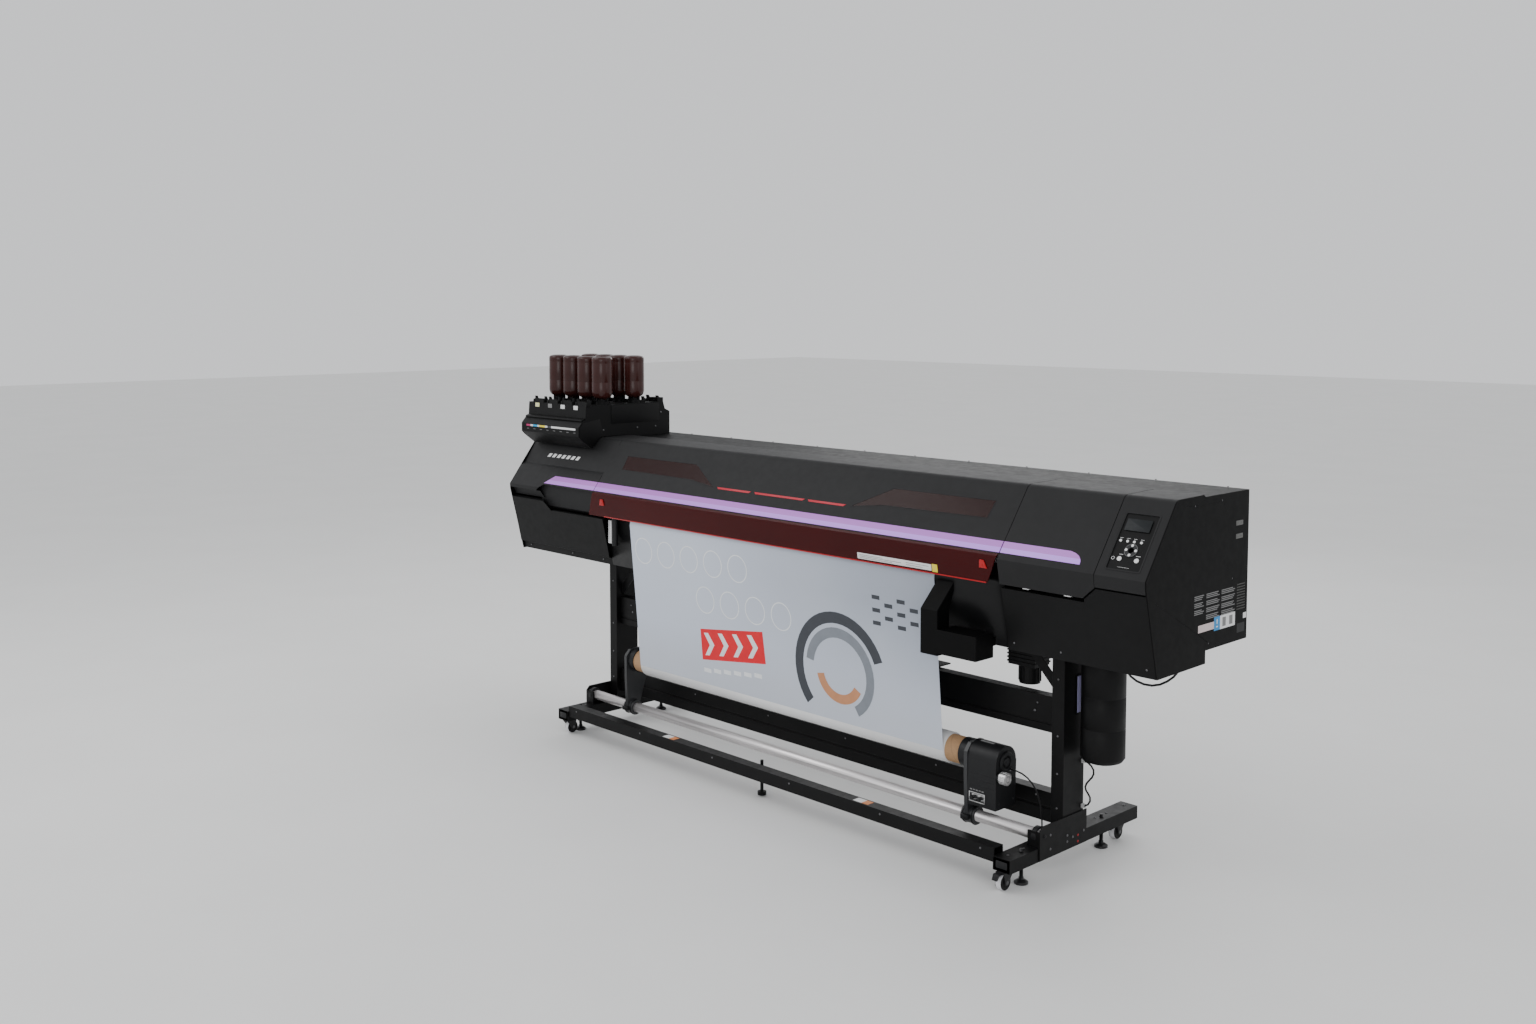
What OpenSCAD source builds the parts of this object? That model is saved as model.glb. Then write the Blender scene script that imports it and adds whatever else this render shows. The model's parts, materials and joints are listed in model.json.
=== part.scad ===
// Wide-format roll-to-roll printer with a cutter on its print carriage and a take-up unit.
// +X runs to the operator's right, +Y to the back, +Z up. The origin is on the floor, mid-machine.

/* [Body] */
// Overall width over the two side panels
body_w = 3120; // [3100:5:3150]
// Height of the lower front edge
body_bottom = 707; // [705:1:707]
// Height of the flat rear top
body_top = 1205; // [1205:1:1206]
// How far the nose of the front covers stands forward of the origin
nose_reach = 298; // [297:1:300]
// Height of the nose
nose_z = 995; // [994:1:996]
// How far the rear cover stands behind the origin
rear_reach = 276; // [275:1:278]
// Wall of the moulded covers
skin = 3; // [2.5:0.5:3]
// Thickness of the steel side panels
panel_t = 4; // [3:0.5:4]
// Gap between neighbouring covers
seam = 2; // [1.5:0.5:3]

/* [Print area] */
// Width of the loaded media
media_w = 1550; // [1500:10:1560]
// Thickness of the media solid
media_t = 0.5; // [0.3:0.1:0.6]
// Height of the platen's top face
platen_z = 935; // [934:0.5:936]
// Radius of the grit feed roller
feed_r = 14; // [12:0.5:15]
// Width of the print carriage
carriage_w = 320; // [280:10:330]

/* [Stand] */
// Width of the stand over its gusset plates
stand_w = 2300; // [2260:10:2340]
// Length of each foot
foot_len = 700; // [680:10:720]
// Height of the foot's underside above the floor
foot_z = 58; // [56:1:60]
// Height of the foot's box section
foot_h = 42; // [38:1:46]
// Width of the foot's box section
foot_w = 64; // [60:1:68]
// Castor wheel diameter
wheel_d = 50; // [46:1:50]

/* [Take-up] */
// Radius of the polished tube that carries the take-up arms
tube_r = 19; // [17:0.5:20]
// Outer radius of the cardboard core
core_r = 44.5; // [44:0.5:45]
// Radius of the media wound on the core
roll_r = 50; // [48:1:52]
// Height of the core's axis
core_z = 325; // [320:1:330]

/* [Ink] */
// Radius of an ink bottle
bottle_r = 43.5; // [40:0.5:44]
// Distance between neighbouring bottles
bottle_pitch = 101; // [92:1:102]
// Radius of the waste ink tank
tank_r = 69; // [60:1:70]

/* [Hidden] */
$fn = 48;

// Colours of the finishes
charcoal = "#3a3a3b";
near_black = "#17171a";
steel_black = "#1c1c1e";
smoke_red = [0.35, 0.03, 0.05, 0.6];

// Places along the width
body_x = body_w / 2;
inner_x = body_x - panel_t;
lid_x0 = -983;
lid_x1 = 1044;
panel_x0 = 1390;
plate_x = stand_w / 2;
gusset_t = 4;
foot_x = plate_x - gusset_t - foot_w;
column_w = 46;
column_in = plate_x - gusset_t - column_w;

// Section of the body, as y and z
nose = [-nose_reach, nose_z];
nose_low = [-nose_reach + 1, nose_z - 22];
front_top = [-137, 1210];
lid_back = [16, 1212];
slope_run = front_top - nose;
slope_a = atan2(slope_run[1], slope_run[0]);
top_round = 28;
lower_top = [-292, 953];
lower_bottom = [-232, body_bottom];
base_z = body_bottom + 2;
rear_bottom = 748;
cover_t = 2.5;
rear_floor = rear_bottom + cover_t;
hinge_y = 18;
hinge_z = 1206;
hinge_r = 3.2;
hinge_pin_r = 1.6;
lid_hinge_x = [-800, 30, 860];
service_hinge_x = [1110, 1325];
hinge_x = concat(lid_hinge_x, service_hinge_x);

// Take-up and media path
tube_y = -180;
tube_z = 133;
core_y = -163;
chuck_r = 37.6;
core_in = 38;
half_web = media_w / 2;
web_z = platen_z + 1.2;
supply_y = 296;
supply_z = 690;
supply_r = 52;
feed_y = 85;
pinch_y = 120;
pinch_z = 975;
feed_z = platen_z + 0.6 - feed_r;
bearing_x = 884;
gap = 0.3;
fit = 0.05;

// ---------- outline functions ----------
function unit(v) = v / norm(v);
function left_of(v) = [-v[1], v[0]];
function turned(a) = [cos(a), sin(a)];
function near_turn(a) = a > 180 ? a - 360 : (a < -180 ? a + 360 : a);

// Points of a round corner of radius r at q, between p and s
function fillet(p, q, s, r, n) =
    let (u = unit(p - q), v = unit(s - q), half = acos(u * v) / 2)
    let (c = q + unit(u + v) * r / sin(half), a = q + u * r / tan(half), b = q + v * r / tan(half))
    let (a0 = atan2(a[1] - c[1], a[0] - c[0]), a1 = atan2(b[1] - c[1], b[0] - c[0]))
    [for (i = [0:n]) c + r * turned(a0 + near_turn(a1 - a0) * i / n)];

// Point where a line from p touches the +Y side of a circle
function tangent(c, r, p) =
    let (d = p - c, a = atan2(d[1], d[0]) - acos(r / norm(d)))
    c + r * turned(a);

// Direction of the mitre at point i of a path, scaled so that the wall keeps its thickness
function mitre(path, i) =
    let (last = len(path) - 1)
    let (i0 = max(i, 1), i1 = min(i, last - 1))
    let (before = left_of(unit(path[i0] - path[i0 - 1])))
    let (after = left_of(unit(path[i1 + 1] - path[i1])))
    (before + after) / (1 + before * after);

// Closed outline of a wall of thickness t on the left of a path
function wall(path, t) =
    concat(path, [for (i = [len(path) - 1:-1:0]) path[i] + t * mitre(path, i)]);

// The point on the front slope at height z
function slope_at(z) = nose + slope_run * (z - nose[1]) / slope_run[1];
function slope_u(z) = (z - nose[1]) / sin(slope_a);

top_path = concat([lid_back], fillet(lid_back, front_top, nose, top_round, 6));

// ---------- shape modules ----------
module yz(x0, x1, pts) {
    translate([x0, 0, 0]) rotate([90, 0, 90]) linear_extrude(x1 - x0) polygon(pts);
}

module block(x, y, z) {
    translate([x[0], y[0], z[0]]) cube([x[1] - x[0], y[1] - y[0], z[1] - z[0]]);
}

module x_rod(x0, x1, y, z, r) {
    translate([x0, y, z]) rotate([0, 90, 0]) cylinder(h = x1 - x0, r = r);
}

module y_rod(x, y0, y1, z, r) {
    translate([x, y0, z]) rotate([-90, 0, 0]) cylinder(h = y1 - y0, r = r);
}

module z_rod(x, y, z0, z1, r) {
    translate([x, y, z0]) cylinder(h = z1 - z0, r = r);
}

// Children drawn in the plane of the front slope: x as the machine, y up the slope, z out of it
module on_slope() {
    translate([0, nose[0], nose[1]]) rotate([slope_a, 0, 0]) children();
}

// Box section with the open bore of a tube along it
module box_tube(x, y, z, wall_t) {
    difference() {
        block(x, y, z);
        block([x[0] - 1, x[1] + 1], [y[0] + wall_t, y[1] - wall_t], [z[0] + wall_t, z[1] - wall_t]);
    }
}

module both_sides() {
    children();
    mirror([1, 0, 0]) children();
}

// ---------- stand ----------
leveller_y = [-258, 176];
leveller_x = foot_x + 38;
castor_y = [-325, 288];
kingpin_r = 5;
castor_x = foot_x + 30;
stem_r = 6;

module foot() {
    gusset = [[-205, foot_z + 2], [-205, 150], [-190, 166], [46, 166], [46, foot_z + 2]];
    color(steel_black) {
        difference() {
            block([foot_x, foot_x + foot_w], [-foot_len / 2, foot_len / 2], [foot_z, foot_z + foot_h]);
            for (y = leveller_y) z_rod(leveller_x, y, foot_z - 1, foot_z + foot_h + 1, stem_r + gap);
            for (y = castor_y) z_rod(castor_x, y, foot_z - 1, foot_z + 20, kingpin_r + fit);
        }
        difference() {
            yz(foot_x + foot_w, plate_x, gusset);
            for (z = [72, 92]) x_rod(plate_x - gusset_t - 1, plate_x + 1, 0, z, 4);
        }
        block([foot_x + 22, foot_x + foot_w], [-205, -200], [foot_z + foot_h, 150]);
    }
}

module foot_right() { foot(); }
module foot_left() { mirror([1, 0, 0]) foot(); }

module column() {
    column_y = [-80, 32];
    brace = [[column_in, 540], [column_in, 585], [column_in - 118, base_z], [column_in - 160, base_z]];
    color(steel_black) {
        difference() {
            block([column_in, column_in + column_w], column_y, [foot_z + foot_h, base_z]);
            block([column_in + 6, column_in + 40], [-74, -60], [240, 560]);
        }
        translate([0, -44, 0]) rotate([90, 0, 0]) linear_extrude(5) polygon(brace);
        block([column_in - 70, column_in], [-70, 20], [base_z - 6, base_z]);
    }
}

module column_right() {
    column();
    color(steel_black) {
        difference() {
            block([column_in + column_w, column_in + column_w + 26], [-38, 28], [660, base_z]);
            z_rod(tank_x, tank_y, 650, 700, tank_r + gap);
        }
        block([column_in + column_w + 26, tank_x + 30], [-38, 28], [700, base_z]);
    }
}

module column_left() { mirror([1, 0, 0]) column(); }

module front_beam() {
    color(steel_black) {
        box_tube([-foot_x, foot_x], [-345, -300], [78, 122], 3);
        block([-24, 24], [-300, -270], [96, 101]);
        z_rod(0, -284, 18, 132, stem_r);
        z_rod(0, -284, 6, 18, 16);
    }
}

module takeup_beam() {
    color(steel_black) difference() {
        block([-column_in, column_in], [-60, -14], [130, 226]);
        block([-column_in - 1, column_in + 1], [-61, -56], [172, 180]);
    }
}

module rear_beam() {
    color(steel_black) {
        difference() {
            block([-column_in, column_in], [-58, -16], [418, 533]);
            block([-column_in - 1, column_in + 1], [-59, -54], [442, 449]);
        }
        for (x = [-560, 560]) block([x - 40, x + 40], [-58, 40], [533, 538]);
    }
}

module takeup_tube() {
    color("silver") difference() {
        x_rod(-plate_x + gusset_t, plate_x - gusset_t, tube_y, tube_z, tube_r);
        x_rod(-plate_x, plate_x, tube_y, tube_z, tube_r - 3);
    }
}

// Castor fork with its kingpin, axle and brake pedal, at the origin of its swivel
axle_x = -14;
axle_z = wheel_d / 2 + 0.5;

module castor_fork() {
    top = foot_z - 3.5;
    leg = [
        [-30, top], [20, top], [2, 36], [axle_x + 8, axle_z - 8],
        [axle_x - 8, axle_z - 8], [axle_x - 10, 36]
    ];
    pedal = [[-46, top], [-42, top - 3], [-54, 38], [-58, 39], [-48, foot_z - 0.5 - gap]];
    color(near_black) {
        z_rod(0, 0, top - 2, foot_z - gap, 20);
        z_rod(0, 0, foot_z - 1, foot_z + 16, kingpin_r);
        for (y = [-16.5, 14]) translate([0, y, 0]) xz_plate(2.5, leg);
        block([-46, 0], [-16.5, 16.5], [top - 1, foot_z - 1]);
        translate([0, -10, 0]) xz_plate(20, pedal);
    }
    color("silver") y_rod(axle_x, -18, 18, axle_z, 4);
}

module xz_plate(t, pts) {
    translate([0, t, 0]) rotate([90, 0, 0]) linear_extrude(t) polygon(pts);
}

module castor_wheel() {
    color(near_black) difference() {
        y_rod(axle_x, -12, 12, axle_z, wheel_d / 2);
        y_rod(axle_x, -13, 13, axle_z, 4 + fit);
        y_rod(axle_x, -13, -8, axle_z, wheel_d / 2 - 8);
        y_rod(axle_x, 8, 13, axle_z, wheel_d / 2 - 8);
    }
}

// Which way each castor is swivelled, left then right, front then back
castor_turn = [[-90, 180], [90, 90]];

module at_castor(side, end) {
    turn = castor_turn[side > 0 ? 1 : 0][end];
    translate([side * castor_x, castor_y[end], 0]) rotate([0, 0, turn]) children();
}

module castor_fork_fl() { at_castor(-1, 0) castor_fork(); }
module castor_fork_fr() { at_castor(1, 0) castor_fork(); }
module castor_fork_bl() { at_castor(-1, 1) castor_fork(); }
module castor_fork_br() { at_castor(1, 1) castor_fork(); }
module castor_wheel_fl() { at_castor(-1, 0) castor_wheel(); }
module castor_wheel_fr() { at_castor(1, 0) castor_wheel(); }
module castor_wheel_bl() { at_castor(-1, 1) castor_wheel(); }
module castor_wheel_br() { at_castor(1, 1) castor_wheel(); }

// Levelling foot: flat pad, neck and threaded stem
module leveller(side, end) {
    pad = [[0, 0], [22, 0], [22, 6], [14, 12], [8, 14], [8, 20], [stem_r, 20], [stem_r, 108], [0, 108]];
    color(near_black) translate([side * leveller_x, leveller_y[end], 0]) rotate_extrude() polygon(pad);
}

module leveller_fl() { leveller(-1, 0); }
module leveller_fr() { leveller(1, 0); }
module leveller_bl() { leveller(-1, 1); }
module leveller_br() { leveller(1, 1); }

// ---------- take-up unit ----------
arm_x = 862;
arm_t = 14;
motor_x = arm_x + arm_t;
motor_w = 112;
core_end = 832;
motor_front = core_y - 52;
knob_y = -198;
knob_z = 285;
knob_r = 20;
knob_boss = 16;
knob_pin_r = 5;

// Flat arm with a split clamp round the tube and a bore for the chuck's journal
module arm_plate(x0) {
    plate = concat(
        [[tube_y - 32, tube_z + 8], [tube_y + 30, tube_z + 8]],
        [for (p = [[54, -60], [54, 20], [30, 46], [-32, 46], [-54, 20], [-54, -60]]) [core_y, core_z] + p]
    );
    difference() {
        union() {
            yz(x0, x0 + arm_t, plate);
            x_rod(x0 - 18, x0 + arm_t + 18, tube_y, tube_z, tube_r + 10);
        }
        x_rod(x0 - 20, x0 + arm_t + 20, tube_y, tube_z, tube_r + fit);
        x_rod(x0 - 1, x0 + arm_t + 1, core_y, core_z, 20 + fit);
    }
}

module takeup_arm_right() { color("#3c3d3f") arm_plate(arm_x); }
module takeup_arm_left() {
    color("#3c3d3f") difference() {
        union() {
            mirror([1, 0, 0]) arm_plate(arm_x);
            x_rod(-arm_x - arm_t - 30, -arm_x - arm_t, core_y, core_z, 32);
        }
        x_rod(-arm_x - arm_t - 31, -arm_x, core_y, core_z, 20 + fit);
    }
}

module takeup_motor() {
    shell = concat(
        [[motor_front, 178], [core_y + 50, 178], [core_y + 54, core_z]],
        [for (a = [0:15:180]) [core_y, core_z] + 52 * turned(a)],
        [[motor_front, core_z - 4]]
    );
    color("#26272a") difference() {
        union() {
            yz(motor_x, motor_x + motor_w, shell);
            x_rod(motor_x + motor_w, motor_x + motor_w + 10, knob_y, knob_z, knob_boss);
        }
        x_rod(motor_x - 1, motor_x + 46, core_y, core_z, 20 + gap);
        x_rod(motor_x + motor_w - 30, motor_x + motor_w + 11, knob_y, knob_z, knob_pin_r + fit);
        block([switch_x - 27, switch_x + 27], [motor_front - 1, motor_front + 5], [194, 216]);
        x_rod(switch_x - 31, switch_x + 31, switch_y, switch_z, switch_pin_r + fit);
    }
}

module chuck(x0, x1) {
    color(near_black) {
        difference() {
            x_rod(x0, x0 + 40, core_y, core_z, chuck_r);
            for (a = [0:60:359]) translate([x0, core_y, core_z]) rotate([a, 0, 0])
                block([-1, 34], [-3, 3], [chuck_r - 5, chuck_r + 2]);
        }
        x_rod(x0 + 40, x1, core_y, core_z, core_r + 3);
        x_rod(x1, x1 + 34, core_y, core_z, 20);
    }
}

module chuck_right() { chuck(core_end - 40, arm_x - 2); }
module chuck_left() { mirror([1, 0, 0]) chuck(core_end - 40, arm_x - 2); }

module takeup_roll() {
    color("#b98a5c") difference() {
        x_rod(-core_end + gap, core_end - gap, core_y, core_z, core_r);
        x_rod(-core_end, core_end, core_y, core_z, core_in);
    }
    color("gainsboro") difference() {
        x_rod(-half_web, half_web, core_y, core_z, roll_r);
        x_rod(-half_web - 1, half_web + 1, core_y, core_z, core_r);
    }
}

module tension_knob() {
    knob_x = motor_x + motor_w + 10.5;
    color("silver") difference() {
        x_rod(knob_x, knob_x + 24, knob_y, knob_z, knob_r);
        for (a = [0:20:359]) translate([knob_x, knob_y, knob_z]) rotate([a, 0, 0])
            x_rod(-1, 25, 0, knob_r + 0.6, 1.4);
    }
    color("silver") x_rod(knob_x - 30, knob_x, knob_y, knob_z, knob_pin_r);
}

switch_x = motor_x + 38;
switch_y = motor_front + 2;
switch_z = 205;
switch_pin_r = 1.2;

module takeup_switch() {
    color(near_black) {
        for (x = [-14, 14]) y_rod(switch_x + x, switch_y - 12, switch_y, switch_z, 6);
        block([switch_x - 24, switch_x + 24], [switch_y - 3, switch_y], [switch_z - 2, switch_z + 2]);
        x_rod(switch_x - 30, switch_x + 30, switch_y, switch_z, switch_pin_r);
    }
}

// ---------- media ----------
module media_web() {
    hang_top = [-266, 905];
    hang_foot = [core_y - roll_r - 0.4, core_z];
    rear_turn = [286, web_z];
    off_roll = tangent([supply_y, supply_z], supply_r + 0.4, rear_turn);
    path = concat(
        [off_roll],
        fillet(off_roll, rear_turn, [-252, web_z], 24, 6),
        fillet(rear_turn, [-252, web_z], hang_top, 26, 6),
        fillet([-252, web_z], hang_top, hang_foot, 60, 4),
        [hang_foot]
    );
    color("lightsteelblue") yz(-half_web, half_web, wall(path, -media_t));
}

module supply_roll() {
    color("white") difference() {
        x_rod(-half_web, half_web, supply_y, supply_z, supply_r);
        x_rod(-half_web - 1, half_web + 1, supply_y, supply_z, 40);
    }
    color(near_black) both_sides() difference() {
        union() {
            x_rod(half_web - 30, half_web + 40, supply_y, supply_z, 40);
            x_rod(half_web + 40, half_web + 50, supply_y, supply_z, 46);
        }
        x_rod(half_web - 31, half_web + 51, supply_y, supply_z, 10 + fit);
    }
}

// ---------- inside the body ----------
module base_frame() {
    holder = [
        [212, rear_floor + 1], [212, 700], [268, 664], [326, 664],
        [330, 700], [292, rear_bottom - 12], [264, rear_bottom - 2], [264, rear_floor + 1]
    ];
    color(steel_black) {
        block([-inner_x, inner_x], [-222, 28], [base_z, base_z + 36]);
        block([-inner_x, inner_x], [28, rear_reach - cover_t], [rear_floor, rear_floor + 6]);
        block([-inner_x, inner_x], [20, 28], [base_z + 36, rear_floor + 6]);
        both_sides() {
            block([1500, 1506], [-120, 200], [base_z + 36, 1130]);
            yz(half_web + 52, half_web + 62, holder);
            x_rod(half_web - 20, half_web + 52, supply_y, supply_z, 10);
        }
        both_sides() difference() {
            block([bearing_x, bearing_x + 8], [62, 134], [rear_floor + 5, 990]);
            x_rod(bearing_x - 1, bearing_x + 9, feed_y, feed_z, 8 + fit);
            x_rod(bearing_x - 1, bearing_x + 9, pinch_y, pinch_z, 5 + fit);
        }
        for (x = [-700, 0, 700]) block([x - 4, x + 4], [-180, 19], [base_z + 36, 904]);
        for (x = [-700, 0, 700]) block([x - 4, x + 4], [110, 250], [rear_floor + 5, 904]);
        exhaust_blower();
    }
}

// Blower that hangs under the body beside the right column
module exhaust_blower() {
    housing_x = [898, 1002];
    housing_y = [-36, 44];
    duct = [955, 4];
    duct_r = 34;
    block(housing_x, housing_y, [604, base_z]);
    for (z = [612:12:684]) block(housing_x + [-3, 3], housing_y + [-3, 3], [z, z + 5]);
    z_rod(duct[0], duct[1], 545, 604, duct_r);
    for (a = [0:30:359]) translate([duct[0], duct[1], 0]) rotate([0, 0, a])
        block([duct_r - 2, duct_r + 3], [-2, 2], [551, 600]);
}

module platen() {
    guide = concat(
        [[-206, platen_z - 3], [-232, platen_z - 4]],
        fillet([-232, platen_z - 4], [-257, platen_z - 14], [-253, 870], 12, 5),
        [[-250, 850], [-228, body_bottom + 5]]
    );
    color("#55565a") {
        difference() {
            block([-880, 880], [-206, 68], [904, platen_z]);
            for (y = [-150:50:0]) block([-870, 870], [y, y + 3], [platen_z - 1.5, platen_z + 1]);
        }
        block([-880, 880], [102, 262], [904, platen_z]);
    }
    color(near_black) yz(-932, lid_x1, wall(guide, 2.5));
}

module y_rail() {
    color("#7d7f83") {
        box_tube([-1500, 1500], [60, 140], [1000, 1120], 5);
        difference() {
            block([-1490, 1490], [44, 60], [1075, 1095]);
            for (z = [1079, 1091]) x_rod(-1491, 1491, 44, z, 2);
        }
        difference() {
            block([1426, 1474], [88, 132], [1120, 1170]);
            y_rod(pulley_x, 80, 133, pulley_z, 4 + fit);
        }
        block([-1474, -1426], [88, 132], [1120, 1170]);
        y_rod(-pulley_x, 70, 88, pulley_z, 8);
        y_rod(-pulley_x, 70, 82, pulley_z, pulley_r);
    }
}

carriage_x0 = 1090;
pulley_x = 1450;
pulley_z = 1145;
pulley_r = 20;

module carriage() {
    box = [[-165, 950], [40, 950], [40, 1128], [-150, 1128], [-165, 1105]];
    color("#2b2b2e") {
        yz(carriage_x0, carriage_x0 + carriage_w, box);
        for (y = [-130, -40])
            block([carriage_x0 + 60, carriage_x0 + carriage_w - 60], [y, y + 60], [940, 950]);
        for (x = [0, carriage_w - 60]) difference() {
            block([carriage_x0 + x, carriage_x0 + x + 60], [40, 59], [1062, 1108]);
            block([carriage_x0 + x - 1, carriage_x0 + x + 61], [44 - gap, 60], [1075 - gap, 1095 + gap]);
        }
        block([carriage_x0 + 140, carriage_x0 + 180], [0, 40], [1128, 1136]);
        difference() {
            block([carriage_x0 + 140, carriage_x0 + 180], [40, 86], [1121, 1136]);
            block([carriage_x0 + 139, carriage_x0 + 181], [69, 83], [1122, 1127]);
        }
        for (z = [960, 1050]) block([carriage_x0 - 6, carriage_x0], [-120, -60], [z, z + 14]);
    }
}

module cutter_holder() {
    color("#8d8f93") {
        difference() {
            block([carriage_x0 - 30, carriage_x0 - 6.3], [-112, -68], [966, 1060]);
            z_rod(carriage_x0 - 18, -90, 1040, 1061, 6);
        }
        z_rod(carriage_x0 - 18, -90, 952, 966, 7);
        z_rod(carriage_x0 - 18, -90, 944, 952, 1.6);
    }
}

module stadium(half, r) {
    translate([-half, 0]) circle(r = r);
    translate([half, 0]) circle(r = r);
    square([2 * half, 2 * r], center = true);
}

module carriage_belt() {
    color(near_black) translate([0, 82, pulley_z]) rotate([90, 0, 0]) linear_extrude(12) difference() {
        stadium(pulley_x, pulley_r + 1.8);
        stadium(pulley_x, pulley_r + gap);
    }
}

module drive_pulley() {
    color("#8d8f93") {
        y_rod(pulley_x, 70, 82, pulley_z, pulley_r);
        y_rod(pulley_x, 82, 128, pulley_z, 4);
    }
}

module feed_roller() {
    color("silver") {
        x_rod(-870, 870, feed_y, feed_z, feed_r);
        x_rod(-900, 905, feed_y, feed_z, 8);
        x_rod(905, 917, feed_y, feed_z, 22);
    }
}

module pinch_bar() {
    roller_z = web_z + 8.6;
    link = [
        [78, roller_z - 4], [90, roller_z - 6], [126, pinch_z - 6],
        [122, pinch_z + 8], [112, pinch_z + 8], [78, roller_z + 6]
    ];
    lever = [
        [114, pinch_z - 5], [126, pinch_z - 7], [294, 944],
        [294, 952], [128, pinch_z + 5], [114, pinch_z + 5]
    ];
    color("#8d8f93") {
        x_rod(-896, 896, pinch_y, pinch_z, 5);
        for (x = [-720:180:720]) {
            for (side = [-24, 18]) yz(x + side, x + side + 6, link);
            x_rod(x - 18, x + 18, 84, roller_z, 7.6);
        }
        yz(866, 876, lever);
        translate([871, 304, 948]) sphere(r = 13);
    }
}

module cap_station() {
    color("#3b3c40") {
        block([1120, 1410], [-150, 18], [base_z + 36, 900]);
        for (x = [1160, 1265]) difference() {
            block([x, x + 80], [-130, -20], [900, 937]);
            block([x + 8, x + 72], [-122, -28], [925, 938]);
        }
        block([1365, 1372], [-130, 10], [900, 936]);
    }
}

// ---------- covers ----------
side_outline = concat(
    [[32, base_z], lower_bottom, lower_top, nose_low, nose],
    fillet(nose, front_top, [7, 1212], top_round, 6),
    [[7, 1212], [hinge_y, body_top], [rear_reach, body_top], [rear_reach, rear_bottom], [32, rear_bottom]]
);

module panel_screws() {
    for (p = [[-39, 1183], [115, 1186], [184, 943], [50, 767]]) translate([0, p[0], p[1]]) children();
}

module side_panel_right() {
    color(near_black) difference() {
        yz(inner_x, body_x, side_outline);
        for (i = [0:9]) block([inner_x - 1, body_x + 1], [212, 266], [842 + i * 8.4, 846 + i * 8.4]);
        for (z = [1060, 1100]) block([inner_x - 1, body_x + 1], [200, 244], [z, z + 16]);
        block([inner_x - 1, body_x + 1], [216, 262], [772, 800]);
        panel_screws() x_rod(inner_x - 1, body_x + 1, 0, 0, 3);
    }
}

module side_panel_left() {
    color(near_black) difference() {
        yz(-body_x, -inner_x, side_outline);
        panel_screws() x_rod(-body_x - 1, -inner_x + 1, 0, 0, 3);
    }
}

module rear_cover() {
    back = [
        [rear_reach - 10, rear_bottom], [rear_reach, rear_bottom], [rear_reach, body_top],
        [hinge_y + 1, body_top], [hinge_y + 1, body_top - 12]
    ];
    color(near_black) difference() {
        yz(-inner_x, inner_x, wall(back, cover_t));
        for (x = hinge_x) block([x - 16, x + 16], [hinge_y, hinge_y + 6], [body_top - 14, body_top + 1]);
        block([-900, 900], [rear_reach - 12, rear_reach + 1], [905, 968]);
        for (x = [-1300:130:-1040]) for (z = [800:12:860])
            block([x, x + 90], [rear_reach - 4, rear_reach + 1], [z, z + 5]);
    }
    color("silver") for (x = hinge_x) {
        x_rod(x - 30, x + 30, hinge_y, hinge_z, hinge_pin_r);
        for (side = [-30, 16]) {
            x_rod(x + side, x + side + 14, hinge_y, hinge_z, hinge_r);
            block([x + side, x + side + 14], [hinge_y, hinge_y + 6], [body_top - 4, body_top]);
        }
    }
}

// Middle knuckle of a hinge, hung under the back edge of a lid
module lid_knuckle(x) {
    difference() {
        union() {
            x_rod(x - 15, x + 15, hinge_y, hinge_z, hinge_r);
            block([x - 15, x + 15], [hinge_y - 8, hinge_y], [hinge_z - 3, hinge_z + 4]);
        }
        x_rod(x - 16, x + 16, hinge_y, hinge_z, hinge_pin_r + fit);
    }
}

// Pointed left end of the set-back panel, as x and z
recess_end = [
    [-1325, 1009], [-1367, 984], [-1348, 956], [-1340, 945], [-1282, 899],
    [-1200, 890], [-1200, 1009]
];

// Corner cover: scooped upper slope, raised band below it and a set-back panel under the nose
module left_corner_cover() {
    top = fillet(lid_back, front_top, nose, top_round, 6);
    path = concat(
        [lid_back], top,
        [[-171, 1159], [-222, 1081], slope_at(1072), nose, [-296, 980], [-280, 976], [-270, 950]]
    );
    recess = [[-272, 1012], [-268, 985], [-262, 918], [-250, 908]];
    band = concat([lid_back], top, [[-171, 1159], [-222, 1081], slope_at(1072), slope_at(1009)]);
    color(charcoal) {
        difference() {
            yz(-inner_x, -1320, wall(path, skin));
            translate([0, -330, 0]) xz_plate(100, recess_end);
        }
        yz(-1320, lid_x0 - seam, wall(band, skin));
        difference() {
            yz(-1372, lid_x0 - seam, wall(recess, skin));
            translate([-1026, 0, 0]) rotate([0, 24, 0]) block([0, 80], [-320, -200], [880, 1060]);
        }
    }
}

module left_lower_cover() {
    lower = [[-226, body_bottom + 4], [-231, body_bottom + 30], [-245, 742], [-288, 938], [-272, 943]];
    step = [[-226, body_bottom + 4], [-231, body_bottom + 30], [-245, 742], [-280, 902], [-266, 904]];
    color(near_black) {
        difference() {
            yz(-inner_x, -1282, wall([for (i = [len(lower) - 1:-1:0]) lower[i]], skin));
            translate([0, -330, 0]) xz_plate(100, recess_end);
        }
        yz(-1282, -934, wall([for (i = [len(step) - 1:-1:0]) step[i]], skin));
    }
}

pane = [[-500, 1153], [-921, 1153], [-914, 1102], [-486, 1099], [-348, 1083]];
lid_mid = 32;
lid_edge = 1010;

module pane_shape(side) {
    on_slope() translate([lid_mid, 0, -skin]) linear_extrude(skin)
        polygon([for (p = pane) [side * p[0], slope_u(p[1])]]);
}

module pane_cut(side) {
    on_slope() translate([lid_mid, 0, -skin - 2]) linear_extrude(skin + 4)
        polygon([for (p = pane) [side * p[0], slope_u(p[1])]]);
}

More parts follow.
